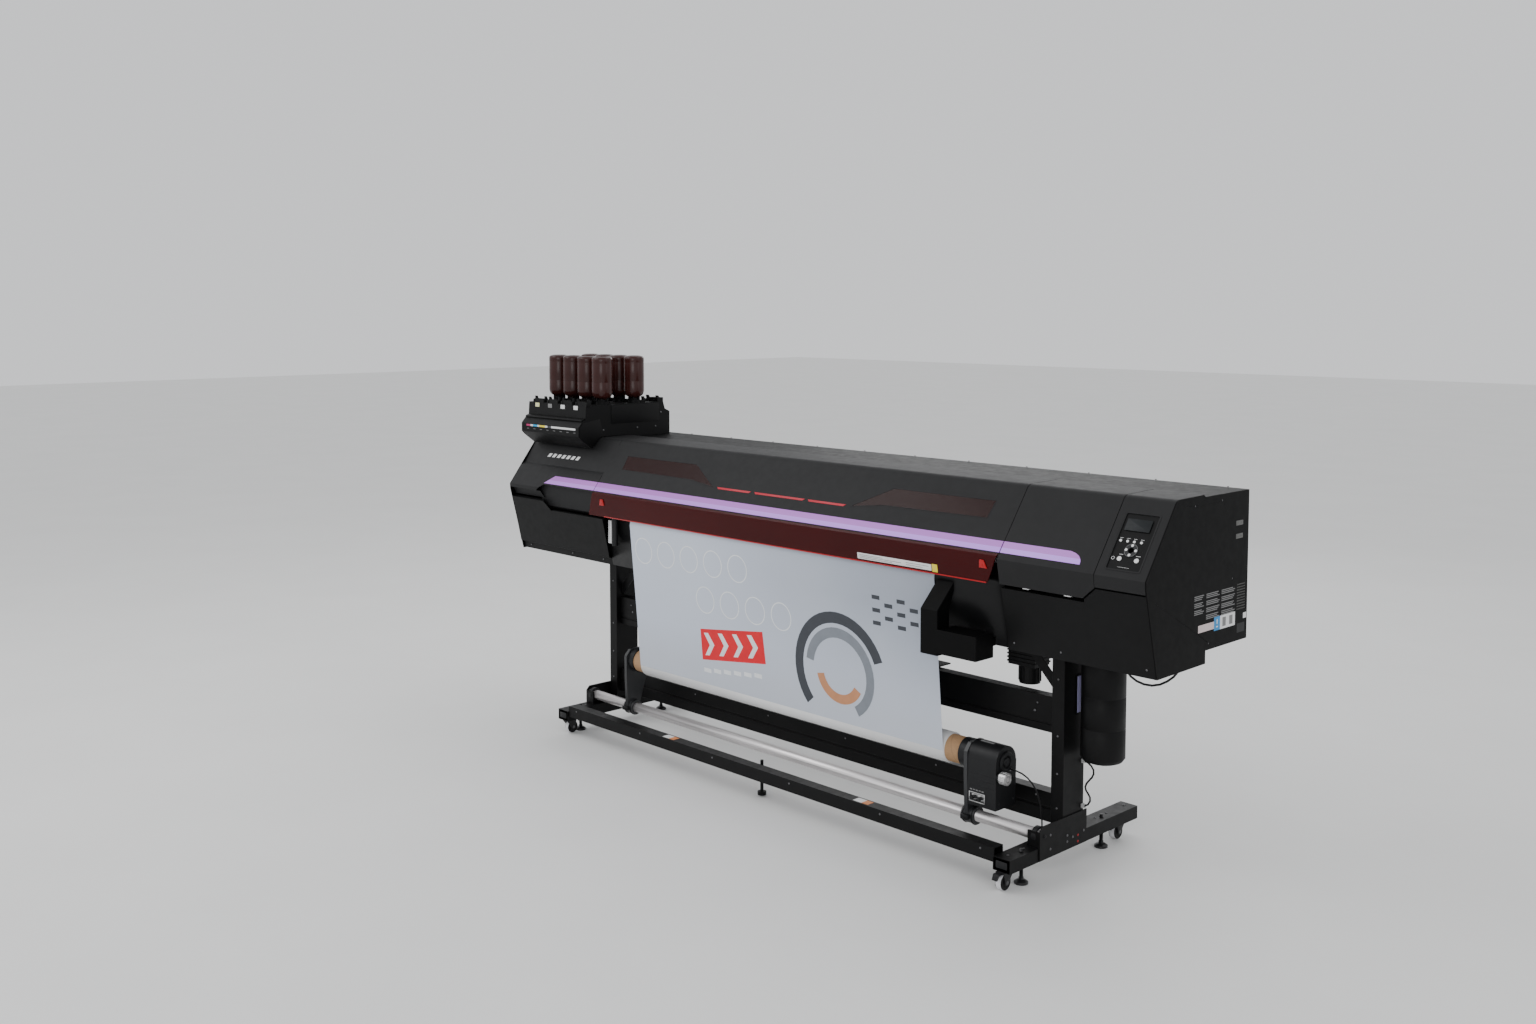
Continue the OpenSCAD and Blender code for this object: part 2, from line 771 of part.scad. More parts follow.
module front_lid() {
    path = concat(top_path, [slope_at(lid_edge)]);
    rib_path = concat(top_path, [slope_at(lid_edge + 2)]);
    color(charcoal) difference() {
        yz(lid_x0, lid_x1, wall(path, skin));
        for (side = [-1, 1]) pane_cut(side);
    }
    color(charcoal) {
        for (x = [lid_x0, lid_x1 - 3]) yz(x, x + 3, wall(rib_path, 16));
        for (x = lid_hinge_x) lid_knuckle(x);
    }
}

module lid_window() {
    glass = [slope_at(lid_edge), slope_at(1003), [-290, 985], [-277, 911]];
    color(smoke_red) {
        difference() {
            yz(-1024, lid_x1 - 2, wall(glass, skin));
            translate([lid_x0, 0, 1006]) rotate([0, 24.6, 0]) block([-120, 0], [-320, -240], [-160, 40]);
            translate([lid_x1 - 2, 0, lid_edge]) rotate([0, 26, 0])
                block([0, 80], [-320, -240], [-160, 20]);
        }
        for (side = [-1, 1]) pane_shape(side);
    }
}

// Everything below the slanted lower corner of the service cover's lip
module below_lip_corner() {
    translate([1337, 0, 912]) rotate([0, -40, 0]) block([-160, 260], [-330, -150], [-300, 0]);
}

module right_front_cover() {
    path = concat(top_path, [nose, [-296, 975], [-284, 917], [-268, 914]]);
    color(charcoal) {
        difference() {
            yz(lid_x1 + seam, panel_x0 - seam, wall(path, skin));
            below_lip_corner();
        }
        for (x = service_hinge_x) lid_knuckle(x);
    }
    color(near_black) for (x = [1090, 1310]) block([x - 16, x + 16], [-278, -268], [917, 923]);
}

module right_lower_cover() {
    high = [[-274, 952], [-289, 951], lower_bottom, [-222.5, body_bottom]];
    low = [[-262, 906], [-276, 904], lower_bottom, [-222.5, body_bottom]];
    cheek = [
        [-275, 903], [-200, 903], [-180, 746], [-222, 746],
        [-222.5, body_bottom + 3], [-230, body_bottom + 3]
    ];
    color(near_black) {
        yz(panel_x0 - seam, inner_x, wall(high, skin));
        yz(lid_x1 + seam, 1346, wall(low, skin));
        intersection() {
            yz(1346, panel_x0 - seam, wall(high, skin));
            translate([0, 0, -6]) below_lip_corner();
        }
        yz(lid_x1 + seam, lid_x1 + seam + 3, cheek);
    }
}

bezel_x = [1417, 1527];
bezel_u = [26, 211];

module panel_cover() {
    path = concat(top_path, [nose, nose_low, [-294, 957], [-276, 955]]);
    color(charcoal) difference() {
        yz(panel_x0, inner_x, wall(path, skin));
        on_slope() block(bezel_x, bezel_u, [-6, 6]);
    }
}

lcd_x = [1427, 1512];
lcd_u = [152, 194];
key_y = 120;
key_x = [1430, 1453, 1475, 1498];
jog_c = [1475, 92];
enter_c = [1448, 62];
power_c = [1504, 62];

module key_hole(x, u, r) {
    translate([x, u, -8]) cylinder(h = 12, r = r);
}

module panel_display() {
    color(near_black) on_slope() difference() {
        block(bezel_x, bezel_u, [-6, -2.5]);
        block(lcd_x, lcd_u, [-3.5, 0]);
        for (x = key_x) key_hole(x, key_y, 4 + gap);
        key_hole(jog_c[0], jog_c[1], 22 + gap);
        key_hole(enter_c[0], enter_c[1], 7 + gap);
        key_hole(power_c[0], power_c[1], 7 + gap);
    }
}

module key(x, u, r) {
    translate([x, u, -5.5]) cylinder(h = 4.6, r = r);
}

module function_keys() {
    color("white") on_slope() {
        for (x = key_x) key(x, key_y, 4);
        block([key_x[0] - 5, key_x[3] + 5], [key_y - 5, key_y + 5], [-9.5, -8]);
        for (x = key_x) translate([x, key_y, -8]) cylinder(h = 2.5, r = 2);
    }
}

module jog_pad() {
    color("#202124") on_slope() difference() {
        key(jog_c[0], jog_c[1], 22);
        key_hole(jog_c[0], jog_c[1], 9);
    }
    color("white") on_slope() for (a = [0:90:270]) translate([jog_c[0], jog_c[1], -0.9])
        rotate([0, 0, a]) translate([15.5, 0, 0]) cylinder(h = 0.8, r = 4);
}

module enter_key() { color("white") on_slope() key(enter_c[0], enter_c[1], 7); }
module power_key() { color("white") on_slope() key(power_c[0], power_c[1], 7); }

// ---------- ink supply ----------
tower_x = [-1536, -1129];
bottle_x0 = -1466;
bottle_rows = [-100, 70];
tower_top = 1345;

module tower_sockets(r, z0, z1) {
    for (y = bottle_rows) for (i = [0:3]) z_rod(bottle_x0 + i * bottle_pitch, y, z0, z1, r);
}

module ink_tower() {
    outline = [
        [-122, 1213], [-148, 1204], [-186, 1168], [-238, 1207], [-250, 1220], [-250, 1256],
        [-229, 1280], [-214, 1286], [-210, tower_top], [203, tower_top], [213, 1314],
        [239, 1302], [239, body_top], [20, body_top], [20, 1213]
    ];
    color(near_black) difference() {
        union() {
            yz(tower_x[0], tower_x[1], outline);
            tower_sockets(26, tower_top, tower_top + 12);
            for (i = [0:3]) translate([bottle_x0 + i * bottle_pitch, 0, 0])
                block([-30, 30], [-209, -194], [tower_top, tower_top + 16]);
            block([tower_x[1] - 60, tower_x[1]], [172, 203], [tower_top, tower_top + 18]);
        }
        tower_sockets(15, tower_top - 20, tower_top + 13);
    }
}

module ink_bottles() {
    seat = tower_top - 20;
    half = [
        [0, 0], [14.5, 0], [14.5, 36], [22, 42], [bottle_r - 6, 50], [bottle_r, 60],
        [bottle_r, 210], [bottle_r - 2, 216], [bottle_r - 8, 221], [0, 221]
    ];
    color("#2a1614") for (y = bottle_rows) for (i = [0:3])
        translate([bottle_x0 + i * bottle_pitch, y, seat]) rotate_extrude() polygon(half);
}

tank_x = 1228;
tank_y = 12;

module waste_tank() {
    half = concat(
        [[0, 345], [tank_r - 20, 345], [tank_r - 8, 350], [tank_r, 362]],
        [for (z = [452, 552]) for (p = [[0, 0], [1, 1], [1, 4], [0, 5]]) [tank_r - p[0], z + p[1]]],
        [[tank_r, 690], [tank_r - 6, 696], [0, 696]]
    );
    color(near_black) translate([tank_x, tank_y, 0]) rotate_extrude() polygon(half);
}

// Cranked guard at the right edge of the media, with the box that it carries
module front_arm() {
    guard = [[-267, 868], [-267, 896], [-350, 815], [-350, 672], [-290, 672], [-290, 812]];
    color(near_black) {
        yz(790, 858, guard);
        block([858, 1010], [-350, -262], [680, 756]);
        block([900, 1000], [-262, -237], [712, 740]);
    }
}

// ---------- cables held at both ends ----------
module cables() {
    color(near_black) {
        sweep(loop_route, 3.5);
        sweep(motor_route, 2.5);
        sweep(column_route, 3);
    }
}

loop_route = [
    [1385, -120, 709], [1385, -120, 698], [1389, -116, 683], [1397, -107, 666], [1409, -94, 652],
    [1424, -78, 642], [1441, -61, 638], [1457, -43, 641], [1471, -27, 650], [1483, -12, 663],
    [1491, 0, 679], [1496, 8, 695], [1497, 10, 709]
];
motor_route = [
    [988, -146, 300], [1000, -146, 300], [1016, -143, 298], [1032, -137, 292], [1047, -130, 281],
    [1060, -123, 265], [1070, -117, 246], [1077, -113, 225], [1082, -110, 202], [1085, -108, 178],
    [1087, -107, 154], [1088, -107, 130], [1088, -107, 100]
];
column_route = [
    [1146, 24, 326], [1155, 24, 326], [1165, 28, 321], [1174, 33, 311], [1179, 37, 299], [1179, 38, 286],
    [1174, 36, 274], [1166, 32, 263], [1159, 29, 253], [1156, 27, 242], [1158, 28, 231], [1164, 31, 221],
    [1170, 33, 210], [1171, 32, 198], [1166, 28, 187], [1156, 25, 181], [1146, 25, 181]
];

// Frame of a ring: two unit vectors square to the route at point i
function route_dir(r, i) = unit(r[min(i + 1, len(r) - 1)] - r[max(i - 1, 0)]);
function side_of(d) = unit(cross(d, abs(d[2]) > 0.9 ? [0, 1, 0] : [0, 0, 1]));
function ring(r, i, rad, n) =
    let (d = route_dir(r, i), s = side_of(d), t = cross(d, s))
    [for (k = [0:n - 1]) r[i] + rad * (cos(360 * k / n) * s + sin(360 * k / n) * t)];

module sweep(route, rad) {
    n = 8;
    m = len(route);
    pts = [for (i = [0:m - 1]) each ring(route, i, rad, n)];
    sides = [
        for (i = [0:m - 2]) for (k = [0:n - 1])
            let (a = i * n + k, b = i * n + (k + 1) % n) [a, b, b + n, a + n]
    ];
    ends = [[for (k = [n - 1:-1:0]) k], [for (k = [0:n - 1]) (m - 1) * n + k]];
    polyhedron(points = pts, faces = concat(sides, ends));
}

foot_left();
foot_right();
column_left();
column_right();
front_beam();
takeup_beam();
rear_beam();
takeup_tube();
castor_fork_fl();
castor_fork_fr();
castor_fork_bl();
castor_fork_br();
castor_wheel_fl();
castor_wheel_fr();
castor_wheel_bl();
castor_wheel_br();
leveller_fl();
leveller_fr();
leveller_bl();
leveller_br();
takeup_arm_right();
takeup_motor();
takeup_arm_left();
chuck_right();
chuck_left();
takeup_roll();
tension_knob();
takeup_switch();
media_web();
supply_roll();
base_frame();
platen();
y_rail();
carriage();
cutter_holder();
carriage_belt();
drive_pulley();
feed_roller();
pinch_bar();
cap_station();
rear_cover();
side_panel_left();
side_panel_right();
left_corner_cover();
left_lower_cover();
front_lid();
lid_window();
right_front_cover();
right_lower_cover();
panel_cover();
panel_display();
function_keys();
jog_pad();
enter_key();
power_key();
ink_tower();
ink_bottles();
waste_tank();
front_arm();
cables();
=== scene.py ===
"""Looks of a wide-format roll printer with a cutter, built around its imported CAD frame."""
import json
import math

import bmesh
import bpy
from mathutils import Matrix, Vector


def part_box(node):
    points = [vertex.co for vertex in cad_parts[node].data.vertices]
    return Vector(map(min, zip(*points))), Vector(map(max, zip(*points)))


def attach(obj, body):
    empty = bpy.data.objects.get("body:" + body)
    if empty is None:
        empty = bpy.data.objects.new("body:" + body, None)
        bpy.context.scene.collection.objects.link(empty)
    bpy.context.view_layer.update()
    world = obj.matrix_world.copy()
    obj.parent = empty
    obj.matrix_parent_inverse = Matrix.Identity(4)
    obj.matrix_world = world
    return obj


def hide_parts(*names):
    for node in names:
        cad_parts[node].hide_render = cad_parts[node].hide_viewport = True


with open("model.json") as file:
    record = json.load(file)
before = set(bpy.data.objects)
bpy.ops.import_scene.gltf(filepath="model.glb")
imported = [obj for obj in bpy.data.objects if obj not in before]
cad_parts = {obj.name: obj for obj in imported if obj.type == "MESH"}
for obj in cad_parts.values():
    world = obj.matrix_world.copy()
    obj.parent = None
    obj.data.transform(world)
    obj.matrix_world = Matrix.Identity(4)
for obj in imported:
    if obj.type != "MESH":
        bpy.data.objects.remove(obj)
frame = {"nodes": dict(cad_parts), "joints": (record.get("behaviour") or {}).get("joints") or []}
NODES = frame["nodes"]
JOINTS = {j["name"]: j for j in frame["joints"]}
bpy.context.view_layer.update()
MM = 0.001


# ---------------- camera
def make_camera():
    """The photo's own camera, solved on the straight edges of the stand and body."""
    data = bpy.data.cameras.new("camera")
    data.lens = 34.146
    data.sensor_width = 36.0
    data.shift_y = -0.0734
    data.clip_end = 100.0
    camera = bpy.data.objects.new("camera", data)
    camera.location = (3.7156, -3.8292, 1.7694)
    camera.rotation_euler = (math.radians(86.22), 0.0, math.radians(46.10))
    bpy.context.scene.collection.objects.link(camera)
    bpy.context.scene.camera = camera


make_camera()


# ---------------- shape helpers
def unit(v):
    return v / v.length


def fillet(p, q, s, r, n):
    """Points of a round corner of radius r at q, between p and s, as 2-D vectors."""
    p, q, s = Vector(p), Vector(q), Vector(s)
    u, v = unit(p - q), unit(s - q)
    half = math.acos(max(-1.0, min(1.0, u.dot(v)))) / 2
    centre = q + unit(u + v) * (r / math.sin(half))
    a, b = q + u * (r / math.tan(half)), q + v * (r / math.tan(half))
    a0 = math.atan2(a.y - centre.y, a.x - centre.x)
    turn = math.atan2(b.y - centre.y, b.x - centre.x) - a0
    turn = (turn + math.pi) % (2 * math.pi) - math.pi
    angles = [a0 + turn * i / n for i in range(n + 1)]
    return [centre + Vector((math.cos(a), math.sin(a))) * r for a in angles]


def rounded(points, r, n=5):
    """A closed outline with every corner rounded to radius r."""
    count = len(points)
    out = []
    for i in range(count):
        out += fillet(points[i - 1], points[i], points[(i + 1) % count], r, n)
    return [(p.x, p.y) for p in out]


def rectangle(x0, x1, y0, y1):
    return [(x0, y0), (x1, y0), (x1, y1), (x0, y1)]


def around(x, half):
    """The two ends of a span about x."""
    return x - half, x + half


# From a flat outline and its thickness, and from a lathe's own axis, to the machine's axes
TURNS = {
    "x": Matrix(((0, 0, 1, 0), (1, 0, 0, 0), (0, 1, 0, 0), (0, 0, 0, 1))),
    "y": Matrix(((1, 0, 0, 0), (0, 0, -1, 0), (0, 1, 0, 0), (0, 0, 0, 1))),
    "z": Matrix.Identity(4),
}
LATHE_TURNS = {**TURNS, "y": Matrix(((1, 0, 0, 0), (0, 0, 1, 0), (0, -1, 0, 0), (0, 0, 0, 1)))}
SHARP = math.radians(28)


def linked(name, data, body):
    """A new object in the scene that rides on a body."""
    obj = bpy.data.objects.new(name, data)
    bpy.context.scene.collection.objects.link(obj)
    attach(obj, body)
    return obj


def mesh_of(bm, name, material, smooth=None):
    """A smooth-shaded mesh with sharp edges above an angle in degrees."""
    mesh = bpy.data.meshes.new(name)
    bm.to_mesh(mesh)
    bm.free()
    mesh.materials.append(material)
    mesh.shade_smooth()
    if smooth is not None:
        mesh.set_sharp_from_angle(angle=math.radians(smooth))
    return mesh


def add_part(whole, part):
    """Moves a part's faces into the whole."""
    mesh = bpy.data.meshes.new("part")
    part.to_mesh(mesh)
    part.free()
    whole.from_mesh(mesh)
    bpy.data.meshes.remove(mesh)


def circle(r, sides):
    """Points evenly round the origin."""
    angles = [2 * math.pi * k / sides for k in range(sides)]
    return [(r * math.cos(a), r * math.sin(a)) for a in angles]


def close_band(part, rings):
    """Faces from each ring of vertices to the next, and from the last to the first."""
    for low, high in zip(rings, rings[1:] + rings[:1]):
        for k in range(len(low)):
            n = (k + 1) % len(low)
            part.faces.new((low[k], low[n], high[n], high[k]))


def tilted(x, up, out, at):
    """Local frame at x: its y axis goes up a slope and its z axis out of it. All in (y, z)."""
    return Matrix((
        (1, 0, 0, x),
        (0, up[0], out[0], at[0]),
        (0, up[1], out[1], at[1]),
        (0, 0, 0, 1),
    ))


class Piece:
    """One mesh made of several closed shapes, all in metres in the machine's frame."""

    def __init__(self, place=None):
        self.bm = bmesh.new()
        self.place = place or Matrix.Identity(4)

    def take(self, part, bevel=0.0, segments=2, turn=Matrix.Identity(4)):
        part.transform(turn)
        bmesh.ops.recalc_face_normals(part, faces=part.faces)
        if bevel:
            edges = [e for e in part.edges if len(e.link_faces) == 2 and e.calc_face_angle() > SHARP]
            bmesh.ops.bevel(part, geom=edges, offset=bevel, offset_type="OFFSET", segments=segments,
                            profile=0.5, affect="EDGES", clamp_overlap=True)
        part.transform(self.place)
        add_part(self.bm, part)
        return self

    def block(self, x, y, z, bevel=0.0008, segments=2):
        part = bmesh.new()
        bmesh.ops.create_cube(part, size=1.0)
        size = Vector((x[1] - x[0], y[1] - y[0], z[1] - z[0]))
        middle = Vector((x[0] + x[1], y[0] + y[1], z[0] + z[1])) / 2
        part.transform(Matrix.Translation(middle) @ Matrix.Diagonal((*size, 1.0)))
        return self.take(part, bevel, segments)

    def prism(self, axis, low, high, outline, bevel=0.0008, segments=2):
        """An outline extruded along an axis. Along x it is (y, z), along y (x, z), along z (x, y)."""
        part = bmesh.new()
        base = [part.verts.new((p[0], p[1], 0.0)) for p in outline]
        face = part.faces.new(base)
        top = bmesh.ops.extrude_face_region(part, geom=[face])["geom"]
        for v in top:
            if isinstance(v, bmesh.types.BMVert):
                v.co.z = high - low
        shift = {"x": (low, 0, 0), "y": (0, high, 0), "z": (0, 0, low)}[axis]
        return self.take(part, bevel, segments, Matrix.Translation(shift) @ TURNS[axis])

    def lathe(self, axis, centre, profile, sides=48):
        """A profile of (along, radius) turned about an axis through centre, closed at its ends."""
        part = bmesh.new()
        rings = []
        for along, r in profile:
            points = circle(r, sides) if r > 0 else [(0, 0)]
            rings.append([part.verts.new((*p, along)) for p in points])
        for low, high in zip(rings, rings[1:]):
            for k in range(sides):
                a, b = low[k % len(low)], low[(k + 1) % len(low)]
                c, d = high[(k + 1) % len(high)], high[k % len(high)]
                corners = list(dict.fromkeys((a, b, c, d)))
                if len(corners) > 2:
                    part.faces.new(corners)
        for ring in (rings[0], rings[-1]):
            if len(ring) > 1:
                part.faces.new(ring)
        return self.take(part, turn=Matrix.Translation(centre) @ LATHE_TURNS[axis])

    def rod(self, axis, centre, length, r, chamfer=0.0005, sides=32):
        """A round bar that starts at centre and runs along +axis."""
        c = min(chamfer, r * 0.4, abs(length) * 0.4)
        profile = [(0.0, r - c), (c, r), (length - c, r), (length, r - c)]
        return self.lathe(axis, centre, profile, sides)

    def ring(self, axis, centre, length, r_in, r_out, chamfer=0.0005, sides=48):
        """A tube that starts at centre and runs along +axis."""
        c = min(chamfer, (r_out - r_in) * 0.3)
        part = bmesh.new()
        profile = [
            (0.0, r_in + c), (0.0, r_out - c), (c, r_out), (length - c, r_out),
            (length, r_out - c), (length, r_in + c), (length - c, r_in), (c, r_in),
        ]
        rings = [[part.verts.new((*p, along)) for p in circle(r, sides)] for along, r in profile]
        close_band(part, rings)
        return self.take(part, turn=Matrix.Translation(centre) @ LATHE_TURNS[axis])

    def screw(self, axis, centre, r=0.004, out=1.0):
        """A pan head with a dished recess, standing out along +axis (out = 1) or -axis (out = -1)."""
        h = r * 0.55
        profile = [(-0.0004, r), (h * 0.35, r), (h * 0.8, r * 0.8), (h, r * 0.45), (h * 0.55, r * 0.2)]
        return self.lathe(axis, centre, [(a * out, b) for a, b in profile], 20)

    def screws(self, axis, centres, r=0.004, out=1.0):
        for centre in centres:
            self.screw(axis, centre, r, out)
        return self

    def done(self, name, material, slot, body="machine", smooth=35):
        return linked(name, mesh_of(self.bm, name, material, smooth), body)


# ---------------- materials
class Shader:
    """A procedural surface: node helpers around one Principled BSDF."""

    def __init__(self, name):
        self.material = bpy.data.materials.new(name)
        self.material.use_nodes = True
        self.tree = self.material.node_tree
        self.bsdf = self.tree.nodes["Principled BSDF"]
        self.coord = self.node("ShaderNodeTexCoord").outputs["Object"]

    def node(self, kind, **values):
        made = self.tree.nodes.new(kind)
        for key, value in values.items():
            setattr(made, key, value)
        return made

    def link(self, a, b):
        self.tree.links.new(a, b)

    def value(self, socket, x):
        self.bsdf.inputs[socket].default_value = x

    def stretched(self, scale=(1, 1, 1), location=(0, 0, 0)):
        mapping = self.node("ShaderNodeMapping")
        mapping.inputs["Scale"].default_value = scale
        mapping.inputs["Location"].default_value = location
        self.link(self.coord, mapping.inputs["Vector"])
        return mapping.outputs["Vector"]

    def noise(self, scale, detail=3.0, rough=0.5, coord=None):
        made = self.node("ShaderNodeTexNoise")
        for key, x in zip(("Scale", "Detail", "Roughness"), (scale, detail, rough)):
            made.inputs[key].default_value = x
        self.link(coord or self.coord, made.inputs["Vector"])
        return made.outputs["Fac"]

    def remap(self, value, low, high, to_low=0.0, to_high=1.0):
        made = self.node("ShaderNodeMapRange")
        for key, x in zip(("From Min", "From Max", "To Min", "To Max"), (low, high, to_low, to_high)):
            made.inputs[key].default_value = x
        self.link(value, made.inputs["Value"])
        return made.outputs["Result"]

    def math(self, operation, a, b=0.0):
        made = self.node("ShaderNodeMath", operation=operation)
        for socket, x in zip(made.inputs, (a, b)):
            if isinstance(x, (int, float)):
                socket.default_value = x
            else:
                self.link(x, socket)
        return made.outputs[0]

    def mix(self, factor, a, b):
        made = self.node("ShaderNodeMix", data_type="RGBA")
        for socket, x in zip((made.inputs[0], made.inputs[6], made.inputs[7]), (factor, a, b)):
            if isinstance(x, (tuple, list)):
                socket.default_value = (*x[:3], 1.0)
            elif isinstance(x, (int, float)):
                socket.default_value = x
            else:
                self.link(x, socket)
        return made.outputs[2]

    def axes(self, coord=None):
        made = self.node("ShaderNodeSeparateXYZ")
        self.link(coord or self.coord, made.inputs[0])
        return made.outputs

    def color(self, socket):
        self.link(socket, self.bsdf.inputs["Base Color"])

    def painted(self, factor, over):
        """Mixes another colour over the one that is there."""
        base = self.bsdf.inputs["Base Color"].links[0].from_socket
        self.color(self.mix(factor, base, over))

    def rough(self, socket):
        self.link(socket, self.bsdf.inputs["Roughness"])

    def gloss(self, scale, detail, low, high):
        """Roughness that wanders between two values."""
        self.rough(self.remap(self.noise(scale, detail), 0.3, 0.7, low, high))

    def bump(self, height, strength, distance):
        made = self.node("ShaderNodeBump")
        made.inputs["Strength"].default_value = strength
        made.inputs["Distance"].default_value = distance
        self.link(height, made.inputs["Height"])
        previous = self.bsdf.inputs["Normal"].links
        if previous:
            self.link(previous[0].from_socket, made.inputs["Normal"])
        self.link(made.outputs["Normal"], self.bsdf.inputs["Normal"])


def scaled(color, k):
    return tuple(min(1.0, c * k) for c in color)


def plain(name, color, rough, spread=0.10, rough_spread=0.05, grain=700.0, bump=0.25, depth=0.00012,
          metal=0.0, mottle=6.0, shine=0.25):
    """A moulded or coated surface: slow colour drift, uneven gloss and a fine grain."""
    s = Shader(name)
    drift = s.remap(s.noise(mottle, 4.0, 0.6), 0.32, 0.68)
    s.color(s.mix(drift, scaled(color, 1 - spread), scaled(color, 1 + spread)))
    s.rough(s.remap(s.noise(mottle * 6, 5.0, 0.65), 0.3, 0.7, rough - rough_spread, rough + rough_spread))
    s.bump(s.noise(grain, 2.0, 0.5), bump, depth)
    s.value("Metallic", metal)
    s.value("Specular IOR Level", shine)
    return s


def brushed(name, color, rough, scale=(2.0, 500.0, 500.0), bump=0.12, metal=1.0):
    """Metal with fine lines along one direction."""
    s = Shader(name)
    lines = s.noise(1.0, 4.0, 0.6, s.stretched(scale))
    s.color(s.mix(s.remap(lines, 0.3, 0.7), scaled(color, 0.82), scaled(color, 1.12)))
    s.rough(s.remap(lines, 0.3, 0.7, rough - 0.06, rough + 0.08))
    s.bump(lines, bump, 0.00005)
    s.value("Metallic", metal)
    return s


def scuffed(s, color, amount, scale=55.0, low=0.62):
    """The material of a surface with faint rubbed marks added to its colour."""
    marks = s.noise(scale, 8.0, 0.7, s.stretched((1.0, 1.0, 3.0)))
    s.painted(s.remap(marks, low, low + 0.12, 0.0, amount), color)
    return s.material


def smoked_red():
    s = Shader("red_window")
    drift = s.remap(s.noise(3.0, 2.0), 0.3, 0.7)
    red = s.mix(drift, (0.082, 0.0030, 0.0036), (0.105, 0.0040, 0.0046))
    pane = s.remap(s.axes()[2], 1.03, 1.07)
    s.color(s.mix(pane, red, (0.036, 0.0072, 0.0058)))
    s.gloss(60.0, 5.0, 0.16, 0.24)
    s.value("Transmission Weight", 0.55)
    s.value("IOR", 1.22)
    return s.material


def lavender():
    s = Shader("stripe_lavender")
    x, _, z = s.axes()
    # Both bands get lighter towards the right end of the stripe: painted light.
    along = s.remap(x, -1.3, 1.3)
    low = s.mix(along, (0.46, 0.20, 0.66), (0.54, 0.30, 0.88))
    high = s.mix(along, (0.38, 0.13, 0.47), (0.45, 0.19, 0.56))
    s.color(s.mix(s.remap(z, 1.0275, 1.0290), low, high))
    s.gloss(90.0, 3.0, 0.36, 0.46)
    s.bump(s.noise(240.0), 0.08, 0.00006)
    # Faint emission: a painted glow on a stripe that gives no light of its own.
    s.value("Emission Color", (0.55, 0.18, 0.85, 1.0))
    s.value("Emission Strength", 0.20)
    s.value("Specular IOR Level", 0.25)
    return s.material


def glossy(name, color, rough, coat, spread=0.08):
    s = plain(name, color, rough, spread, 0.04, 500.0, 0.10, 0.00006)
    s.value("Coat Weight", coat)
    s.value("Coat Roughness", 0.12)
    return s.material


def label(name, color, rough=0.42):
    """Printed film sticker: faint fibres and a slightly dulled face."""
    return plain(name, color, rough, 0.05, 0.06, 1400.0, 0.12, 0.00005, mottle=30.0).material


def bottle_brown():
    s = Shader("bottle_amber")
    drift = s.remap(s.noise(5.0, 2.0, 0.5, s.stretched((1, 1, 0.25))), 0.3, 0.7)
    s.color(s.mix(drift, (0.030, 0.0080, 0.0065), (0.038, 0.0100, 0.0082)))
    s.gloss(12.0, 2.0, 0.22, 0.26)
    s.value("IOR", 1.45)
    s.value("Specular IOR Level", 0.35)
    return s.material


def printed_film():
    """Film with a soft grey-blue print: pale at the top and left, darker at the upper right."""
    s = Shader("printed_media")
    x, _, z = s.axes()
    up = s.remap(z, 0.33, 0.93)
    side = s.remap(x, -0.775, 0.775)
    shade = s.math("MULTIPLY", s.remap(side, 0.25, 1.0), s.remap(up, 0.05, 0.75))
    print_color = s.mix(shade, (0.55, 0.60, 0.70), (0.29, 0.32, 0.38))
    foot_glow = s.math("MULTIPLY", s.remap(up, 0.34, 0.10), 0.75)
    print_color = s.mix(foot_glow, print_color, (0.50, 0.535, 0.60))
    drift = s.remap(s.noise(3.2, 3.0), 0.3, 0.7, 0.0, 0.14)
    s.color(s.mix(drift, print_color, (0.62, 0.655, 0.71)))
    s.gloss(25.0, 4.0, 0.30, 0.42)
    s.bump(s.noise(1500.0), 0.10, 0.00004)
    s.bump(s.noise(7.0, 2.0, 0.5, s.stretched((1.0, 1.0, 0.12))), 0.10, 0.002)
    return s.material


def wound(name, axis, core_limit, inner, outer):
    """A roll on its core: the wound film shows its edges as rings, the core beyond it is cardboard."""
    s = Shader(name)
    x, y, z = s.axes(s.stretched(location=(0, -axis.y, -axis.z)))
    radius = s.math("SQRT", s.math("ADD", s.math("MULTIPLY", y, y), s.math("MULTIPLY", z, z)))
    turns_per_metre = 6500.0
    turns = s.math("SINE", s.math("MULTIPLY", radius, turns_per_metre))
    rings = s.remap(turns, -1.0, 1.0, 0.0, 0.16)
    film = s.mix(rings, outer, scaled(outer, 0.7))
    film = s.mix(s.remap(s.noise(5.0), 0.3, 0.7, 0.0, 0.3), film, scaled(outer, 0.93))
    angle = s.math("ARCTAN2", y, z)
    along, round_it = s.math("MULTIPLY", x, 9.0), s.math("MULTIPLY", angle, 0.1592)
    spiral = s.math("FRACT", s.math("ADD", along, round_it))
    seam = s.remap(spiral, 0.0, 0.05, 0.45, 0.0)
    fibre = s.noise(1.0, 5.0, 0.6, s.stretched((60.0, 900.0, 900.0)))
    card = s.mix(s.remap(fibre, 0.3, 0.7), scaled(inner, 0.85), scaled(inner, 1.12))
    card = s.mix(seam, card, scaled(inner, 0.55))
    on_film = s.math("GREATER_THAN", radius, core_limit)
    s.color(s.mix(on_film, card, film))
    s.rough(s.remap(on_film, 0.0, 1.0, 0.75, 0.38))
    s.bump(fibre, 0.12, 0.0001)
    return s.material


def screen():
    """Dark display with a faint sheen."""
    s = Shader("display_glass")
    s.color(s.mix(s.remap(s.noise(18.0), 0.3, 0.7), (0.012, 0.014, 0.015), (0.020, 0.022, 0.024)))
    s.gloss(120.0, 3.0, 0.34, 0.42)
    s.value("Specular IOR Level", 0.15)
    return s.material


GUIDE_BACK_Y = -0.205


